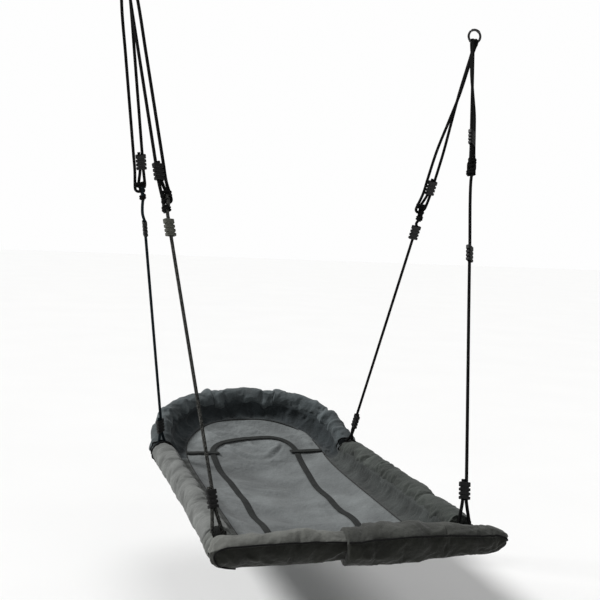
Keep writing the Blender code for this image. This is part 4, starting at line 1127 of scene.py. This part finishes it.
def panel_height(x, y):
    """The panel's folds over its plain sag: slack at the head, a shallow smile below the strap's
    arch, and drag lines from the corners."""
    wide, tall = SEAM_HALF + PANEL_LAP, SEAM_RISE + PANEL_LAP
    reach = (np.abs(x) / wide) ** SEAM_POWER + (np.maximum(y - SEAM_START, 0) / tall) ** SEAM_POWER
    edge = ease((1 - reach ** (1 / SEAM_POWER)) * wide / 0.05) * ease((y - 0.04) / 0.05)
    broad = 0.0022 * waves(x, y, 72, 0.14)
    head = ease((y - 1.02) / 0.10)
    slack = 0.0085 * folds(x, y, 73, 0.085, 1.45, 2.2) + 0.0045 * folds(x, y, 75, 0.040, 1.2)
    near = 0.0050 * folds(x, y, 77, 0.11, 0.95, 2.0) * (1 - head)
    left_drag = 0.0050 * folds(x, y, 79, 0.045, 0.35) * ease((-x - 0.10) / 0.12)
    smile = 1.112 + 0.9 * (x - 0.01) ** 2 / 0.15
    crease = 0.0060 * np.exp(-((y - smile - 0.018) / 0.012) ** 2)
    crease -= 0.0060 * np.exp(-((y - smile) / 0.010) ** 2)
    crease = crease * ease((0.145 - np.abs(x)) / 0.05)
    return (broad + slack * head + near + left_drag + crease - 0.001) * edge


def strap_half(y):
    """Half the distance between the long strap's legs, which open toward the head."""
    return STRAP_HALF + STRAP_FLARE * ease((y - 0.75) / 0.35)


def by_strap(x, y):
    """1 under the long strap, fading to 0 beside it."""
    leg = np.abs(np.abs(x) - strap_half(y)) + 1.0 * (y > ARCH_START)
    power = 2.2
    along = np.maximum(y - ARCH_START, 0) / ARCH_TALL
    reach = ((np.abs(x) / ARCH_WIDE) ** power + along**power) ** (1 / power)
    arch = np.abs(reach - 1) * 0.13 + 1.0 * (y < ARCH_START)
    cross = np.abs(y - CROSS_Y) + 1.0 * (np.abs(x) < CROSS_IN)
    return 1 - ease((np.minimum(np.minimum(leg, arch), cross) - 0.010) / 0.022)


def panel_z(x, y):
    low = 0.0048 * waves(x, y, 71, 0.34) * ease((SEAM_HALF - np.abs(x)) / 0.05)
    return deck(x, y) + panel_height(x, y) * (1 - 0.85 * by_strap(x, y)) + low


tucked, straight = [0.018, 0.026, 0.034, 0.041], np.arange(DECK_START, SEAM_START, 0.0055)
levels = np.concatenate([tucked, straight, [SEAM_START]])
turns = np.concatenate([np.linspace(0.02, 1.2, 44), np.linspace(1.2, 1.545, 14)[1:]])
edge = [(SEAM_HALF + PANEL_LAP, y) for y in levels[:-1]]
edge += [tuple(seam_point(a, PANEL_LAP))[:2] for a in turns]
edge_x, edge_y = (np.array(c)[:, None] for c in zip(*edge))
share = np.linspace(-1, 1, 99)[None]
X, Y = edge_x * share, edge_y * np.ones_like(share)
panel = np.stack([X, Y, panel_z(X, Y) - 0.0030], -1)


def sheet_body(name, grid, u, v, tint, thick, material=CLOTH, body="seat"):
    """A sheet with both faces and its turned edge, from a grid of its middle."""
    obj = grid_piece(name, grid, u, v, tint=tint, material=material, body=body)
    solid = obj.modifiers.new("thickness", "SOLIDIFY")
    solid.thickness, solid.offset = thick, 0.0
    return obj


panel_tint = shaded((0.138, 0.149, 0.150), blotch(X, Y, 81, 0.35, 0.07))
# painted light: the head end is a little paler, as more light falls there; painted shade also
# darkens the creases of the panel's folds and pales their ridges
panel_light_and_shade = wear_and_fold_shade(panel_height(X, Y), 0.10) * (1 + 0.22 * ease((Y - 1.10) / 0.14))
panel_tint = panel_tint * panel_light_and_shade[..., None]
panel_obj = sheet_body("panel_cloth", panel, Y * np.ones_like(X), X, panel_tint, 0.0012,
                       PANEL_CLOTH)
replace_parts(panel_obj, "seat_panel")

BAND_COLUMNS, BAND_WIDE = 22, 0.095
LEAVES_AT = math.radians(80)  # where the band leaves the padding, from the top of it
TUCK_AT, TUCK_DEEP = math.radians(50), 0.013  # its first edge lies inside the padding
BAND_INNER = 0.0175  # its radius where it passes a tie or an end, close round the tube
NEAR_GAP, TIE_GAP, GAP_FADE = 0.072, 0.010, 0.022  # the gaps, and the way each takes to close
LEAVING, ARRIVING = 0.030, 0.034  # how far the band keeps the direction of each edge


def skirt(s):
    """Points across the band, from the padding's inner side down and in to the seam."""
    s_left = min(s, RIM.length - s)
    point, way, up = RIM.frame(s)
    side = way.cross(up)
    gap = 1 - float(ease((abs(s_left - FAR_TIE) - TIE_GAP) / GAP_FADE))
    full = float(ease((s_left - NEAR_GAP) / GAP_FADE)) * (1 - gap)
    r = BAND_INNER + (HEAD_COVER - 0.0025 - BAND_INNER) * full
    start = point + side * r * math.sin(LEAVES_AT) + up * r * math.cos(LEAVES_AT)
    leave = side * math.cos(LEAVES_AT) - up * math.sin(LEAVES_AT)
    seam = seam_by(point)
    end = Vector((seam.x, seam.y, float(deck(seam.x, seam.y))))
    arrive = (end - (point - up * BAND_UNDER)).normalized()
    b, c = start + leave * LEAVING, end - arrive * ARRIVING
    row = [tuple(point + (side * math.sin(TUCK_AT) + up * math.cos(TUCK_AT)) * (r - TUCK_DEEP))]
    for k in range(BAND_COLUMNS - 1):
        t = k / (BAND_COLUMNS - 2)
        first = start * (1 - t) ** 3 + b * 3 * t * (1 - t) ** 2
        row.append(tuple(first + c * 3 * t * t * (1 - t) + end * t**3))
    return row


def upward(grid):
    """The band's normals, turned so that they point up."""
    normal = grid_normals(grid, False)
    return normal * np.sign(normal[len(band_at) // 3, BAND_COLUMNS // 2 + 1, 2])


band_at = run(0.020, RIM.length - 0.020, 0.0058)
band = np.array([skirt(s) for s in band_at])
S = np.repeat(np.array(band_at)[:, None], BAND_COLUMNS, 1)
K = np.repeat(np.linspace(0, BAND_WIDE, BAND_COLUMNS)[None], len(band_at), 0)
up = upward(band)
inside = ease(K / 0.02) * ease((BAND_WIDE - K) / 0.012)
band_folds = 0.0042 * folds(S, K, 91, 0.034, 0.30)
band_folds += 0.0030 * folds(S, K, 95, 0.020, -0.35) + 0.0015 * waves(S, K, 97, 0.07)
band = band + up * ((band_folds - 0.0012) * inside)[..., None]
# painted shade: toward the head end the band takes the head cloth's blue-grey, made much darker for
# the shade in the recess under the head bolster
head_recess_shade = ease((S - 1.09) / 0.06) * ease((RIM.length - 1.09 - S) / 0.06)
right_share = ease((S - RIM.length / 2) / 0.2)
sides = shaded((0.112, 0.118, 0.112), 1 - right_share) + shaded((0.042, 0.047, 0.045), right_share)
band_tint = sides * (1 - head_recess_shade[..., None]) + shaded((0.030, 0.037, 0.040), head_recess_shade)
band_tint = band_tint * blotch(S, K, 99, 0.12, 0.10)[..., None]
# painted light and shade: the band is paler on its fold ridges and darker in their creases
band_tint = band_tint * wear_and_fold_shade(band_folds, 0.15)[..., None]
band_obj = sheet_body("band_cloth", band, S, K, band_tint, 0.0014)
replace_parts(band_obj, "border_band")


def corner_cloth(name, side, seed, colour, start=0.026, end=0.100, least=0.0325, lobe=0.0085,
                 mouth_at=36):
    """Gathered cloth round the rail at a tie, in lobes, open on top where the rope's loop comes
    out."""
    y = np.array(run(start, end, 0.0037))[:, None]
    a = np.radians(np.linspace(mouth_at, 360 - mouth_at, 56))[None]
    lobes = np.abs(np.sin(np.pi * (y - 0.040 + 0.016 * np.cos(a / 2)) / 0.030)) ** 0.6
    mouth = ease((np.minimum(a, 2 * np.pi - a) - math.radians(mouth_at)) / 0.9)
    U, V = y + 0 * a, a * 0.040 + 0 * y
    r = least + lobe * lobes * (0.35 + 0.65 * mouth) + 0.0022 * folds(U, V, seed, 0.018, 0.5)
    z = r * np.cos(a) - NEAR_DROP * ease((0.09 - y) / 0.06)
    grid = np.stack([side * (HALF_WIDTH + r * np.sin(a)), U, z], -1)
    # painted shade: the cloth is darker between the lobes, where the gathers fold in
    tint = shaded(colour, blotch(U, V, seed + 3, 0.05, 0.10)) * (0.55 + 0.45 * lobes[..., None])
    obj = sheet_body(name, grid, U, V, tint, 0.0016)
    soft = obj.modifiers.new("soft", "SUBSURF")
    soft.levels = soft.render_levels = 1
    return obj


corner_cloth("corner_left", -1, 111, (0.125, 0.131, 0.122))
corner_cloth("corner_right", 1, 117, (0.075, 0.081, 0.075), least=0.0355, lobe=0.0065, mouth_at=66)
corner_cloth("tie_left", -1, 119, (0.045, 0.052, 0.054), 1.074, 1.134, 0.0310, 0.0035)
corner_cloth("tie_right", 1, 121, (0.045, 0.052, 0.054), 1.074, 1.134, 0.0345, 0.0025, 66)
for corner in CORNERS:
    ends = [Vector((corner.tie.x, corner.tie.y + d, 0)) for d in (-0.034, -0.030, 0.012, 0.017)]
    tube_mesh("tie_wrap_" + corner.place, ends, 0.0129, 32, body="seat", material=WEB)


# a welt hides the seam between band and panel
seam_line = [Vector((p[-1][0], p[-1][1], p[-1][2] - 0.0008)) for p in band]
tube_mesh("seam_welt", seam_line, 0.0020, 8, body="seat", material=THREAD)


# --- straps ----------------------------------------------------------------------------------

STITCH_LIFT = 0.0009  # over the middle of the cloth


def strap_line():
    """The long strap's middle line, up the left leg, over the arch and down the right leg."""
    legs = np.arange(0.022, 1.095, 0.02)
    half = [Vector((-float(strap_half(y)), y, 0)) for y in legs]
    for a in run(0.06, math.pi / 2, 0.13):
        x, y = ARCH_WIDE * max(0.0, math.cos(a)) ** 0.9, ARCH_TALL * math.sin(a) ** 0.9
        half.append(Vector((-x, ARCH_START + y, 0)))
    return half + [Vector((-p.x, p.y, p.z)) for p in reversed(half[:-1])]


def strap(name, line, lift, thick=0.0013, columns=7):
    """A webbing strap over the panel, a little crowned, with its edges sewn down."""
    line = smooth_line(line, 0.006)
    rows, along = [], [0.0]
    for i, p in enumerate(line):
        way = line[min(i + 1, len(line) - 1)] - line[max(i - 1, 0)]
        side = Vector((-way.y, way.x, 0)).normalized() * STRAP_WIDE / 2
        row = []
        for k in range(columns):
            t = 1 - 2 * k / (columns - 1)
            q = p + side * t
            z = float(sum(panel_z(np.array(c.x), np.array(c.y)) * 0.5 for c in (p, q)))
            row.append((q.x, q.y, z + lift + 0.0005 * (1 - t * t)))
        rows.append(row)
        if i:
            along.append(along[-1] + (p - line[i - 1]).length)
    grid = np.array(rows)
    u = np.repeat(np.array(along)[:, None], columns, 1)
    v = np.repeat(np.linspace(0, STRAP_WIDE, columns)[None], len(rows), 0)
    return sheet_body(name, grid, u, v, None, thick, WEB), grid


def stitches(name, rows_of_points, pitch, long, wide, high, material):
    """Separate stitches along lines of (point, up) pairs, each a low lozenge of thread."""
    points, faces = [], []
    for line, ups in rows_of_points:
        route = Route(line, ups[0])
        for s in np.arange(pitch / 2, route.length - pitch / 2, pitch):
            p, way, _ = route.frame(float(s))
            i = max(0, min(len(ups) - 1, bisect(route.at, s) - 1))
            up = (ups[i] - way * ups[i].dot(way)).normalized()
            side = way.cross(up)
            b = len(points)
            for t, w, h in ((-1, 0.3, 0), (-0.55, 1, 0.8), (0.55, 1, 0.8), (1, 0.3, 0)):
                centre = p + way * (long / 2 * t)
                for x, z in ((-1, -0.3), (-0.6, 0.8), (0.6, 0.8), (1, -0.3)):
                    lift = high * (z * (0.4 + 0.6 * h))
                    points.append(tuple(centre + side * (wide / 2 * w * x) + up * lift))
            for i in range(3):
                for j in range(4):
                    a, c = b + 4 * i + j, b + 4 * i + (j + 1) % 4
                    faces.append([a, c, c + 4, a + 4])
            faces += [[b + 3, b + 2, b + 1, b], [b + 12, b + 13, b + 14, b + 15]]
    return mesh_piece(name, points, faces, material=material)


long_strap, long_grid = strap("strap_long", strap_line(), 0.0002)
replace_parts(long_strap, "panel_strap")
sewn = [long_grid]
for side, name in ((-1, "left"), (1, "right")):
    line = [Vector((side * x, CROSS_Y, 0)) for x in run(CROSS_IN, CROSS_OUT - 0.035, 0.02)]
    cross, grid = strap("strap_cross_" + name, line, 0.0018)
    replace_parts(cross, "cross_strap_" + name)
    sewn.append(grid)
lines = []
for grid in sewn:
    for column in (1, -2):
        line = [Vector(p) + Vector((0, 0, STITCH_LIFT)) for p in grid[:, column]]
        lines.append((line, [Vector((0, 0, 1))] * len(grid)))
stitches("strap_stitching", lines, 0.0042, 0.0030, 0.0007, 0.0004, THREAD)

normal = upward(band)
band_lines = []
for column in (-2, -3):
    line = [Vector(p) for p in band[:, column] + normal[:, column] * STITCH_LIFT]
    band_lines.append((line, [Vector(n) for n in normal[:, column]]))
stitches("band_stitching", band_lines, 0.0040, 0.0029, 0.0006, 0.0004, PALE_THREAD)

# --- floor, light and finish -----------------------------------------------------------------

FLOOR_DROP = 0.33  # below the seat
lowest = cad_box[0].z - FLOOR_DROP
floor_mesh = bpy.data.meshes.new("floor")
size = 30.0
corners = [(x * size, y * size, lowest) for x, y in ((-1, -1), (1, -1), (1, 1), (-1, 1))]
floor_mesh.from_pydata(corners, [], [[0, 1, 2, 3]])
floor = bpy.data.objects.new("floor", floor_mesh)
bpy.context.scene.collection.objects.link(floor)
paper = Nodes("pale_floor", 0.9, specular=0.2)
paper.tinted((0.915, 0.915, 0.91), paper.noise(paper.coordinates(), 1.5, 2.0, 0.985, 1.0))
floor_mesh.materials.append(paper.material)


def sun(name, source, strength, spread):
    """A wide soft light from one direction, so that the floor stays even out to the horizon."""
    light = bpy.data.lights.new(name, "SUN")
    light.energy, light.angle = strength, math.radians(spread)
    obj = bpy.data.objects.new(name, light)
    obj.rotation_euler = Vector(source).to_track_quat("Z", "Y").to_euler()
    bpy.context.scene.collection.objects.link(obj)


sun("key", (-0.66, 0.16, 0.66), 2.9, 12)
sun("top", (0.20, 0.30, 0.93), 0.75, 40)
sun("fill", (0.35, -0.85, 0.40), 0.22, 60)
world = bpy.data.worlds.new("studio")
bpy.context.scene.world = world
world.use_nodes = True
sky = world.node_tree.nodes["Background"]
sky.inputs["Color"].default_value = (1, 1, 1, 1)
sky.inputs["Strength"].default_value = 0.20
bright = world.node_tree.nodes.new("ShaderNodeBackground")
bright.inputs["Color"].default_value = (1, 1, 1, 1)
bright.inputs["Strength"].default_value = 0.99
chosen = world.node_tree.nodes.new("ShaderNodeMixShader")
rays = world.node_tree.nodes.new("ShaderNodeLightPath")
link = world.node_tree.links.new
link(rays.outputs["Is Camera Ray"], chosen.inputs["Fac"])
link(sky.outputs["Background"], chosen.inputs[1])
link(bright.outputs["Background"], chosen.inputs[2])
link(chosen.outputs["Shader"], world.node_tree.nodes["World Output"].inputs["Surface"])
bpy.context.scene.view_settings.view_transform = "Standard"
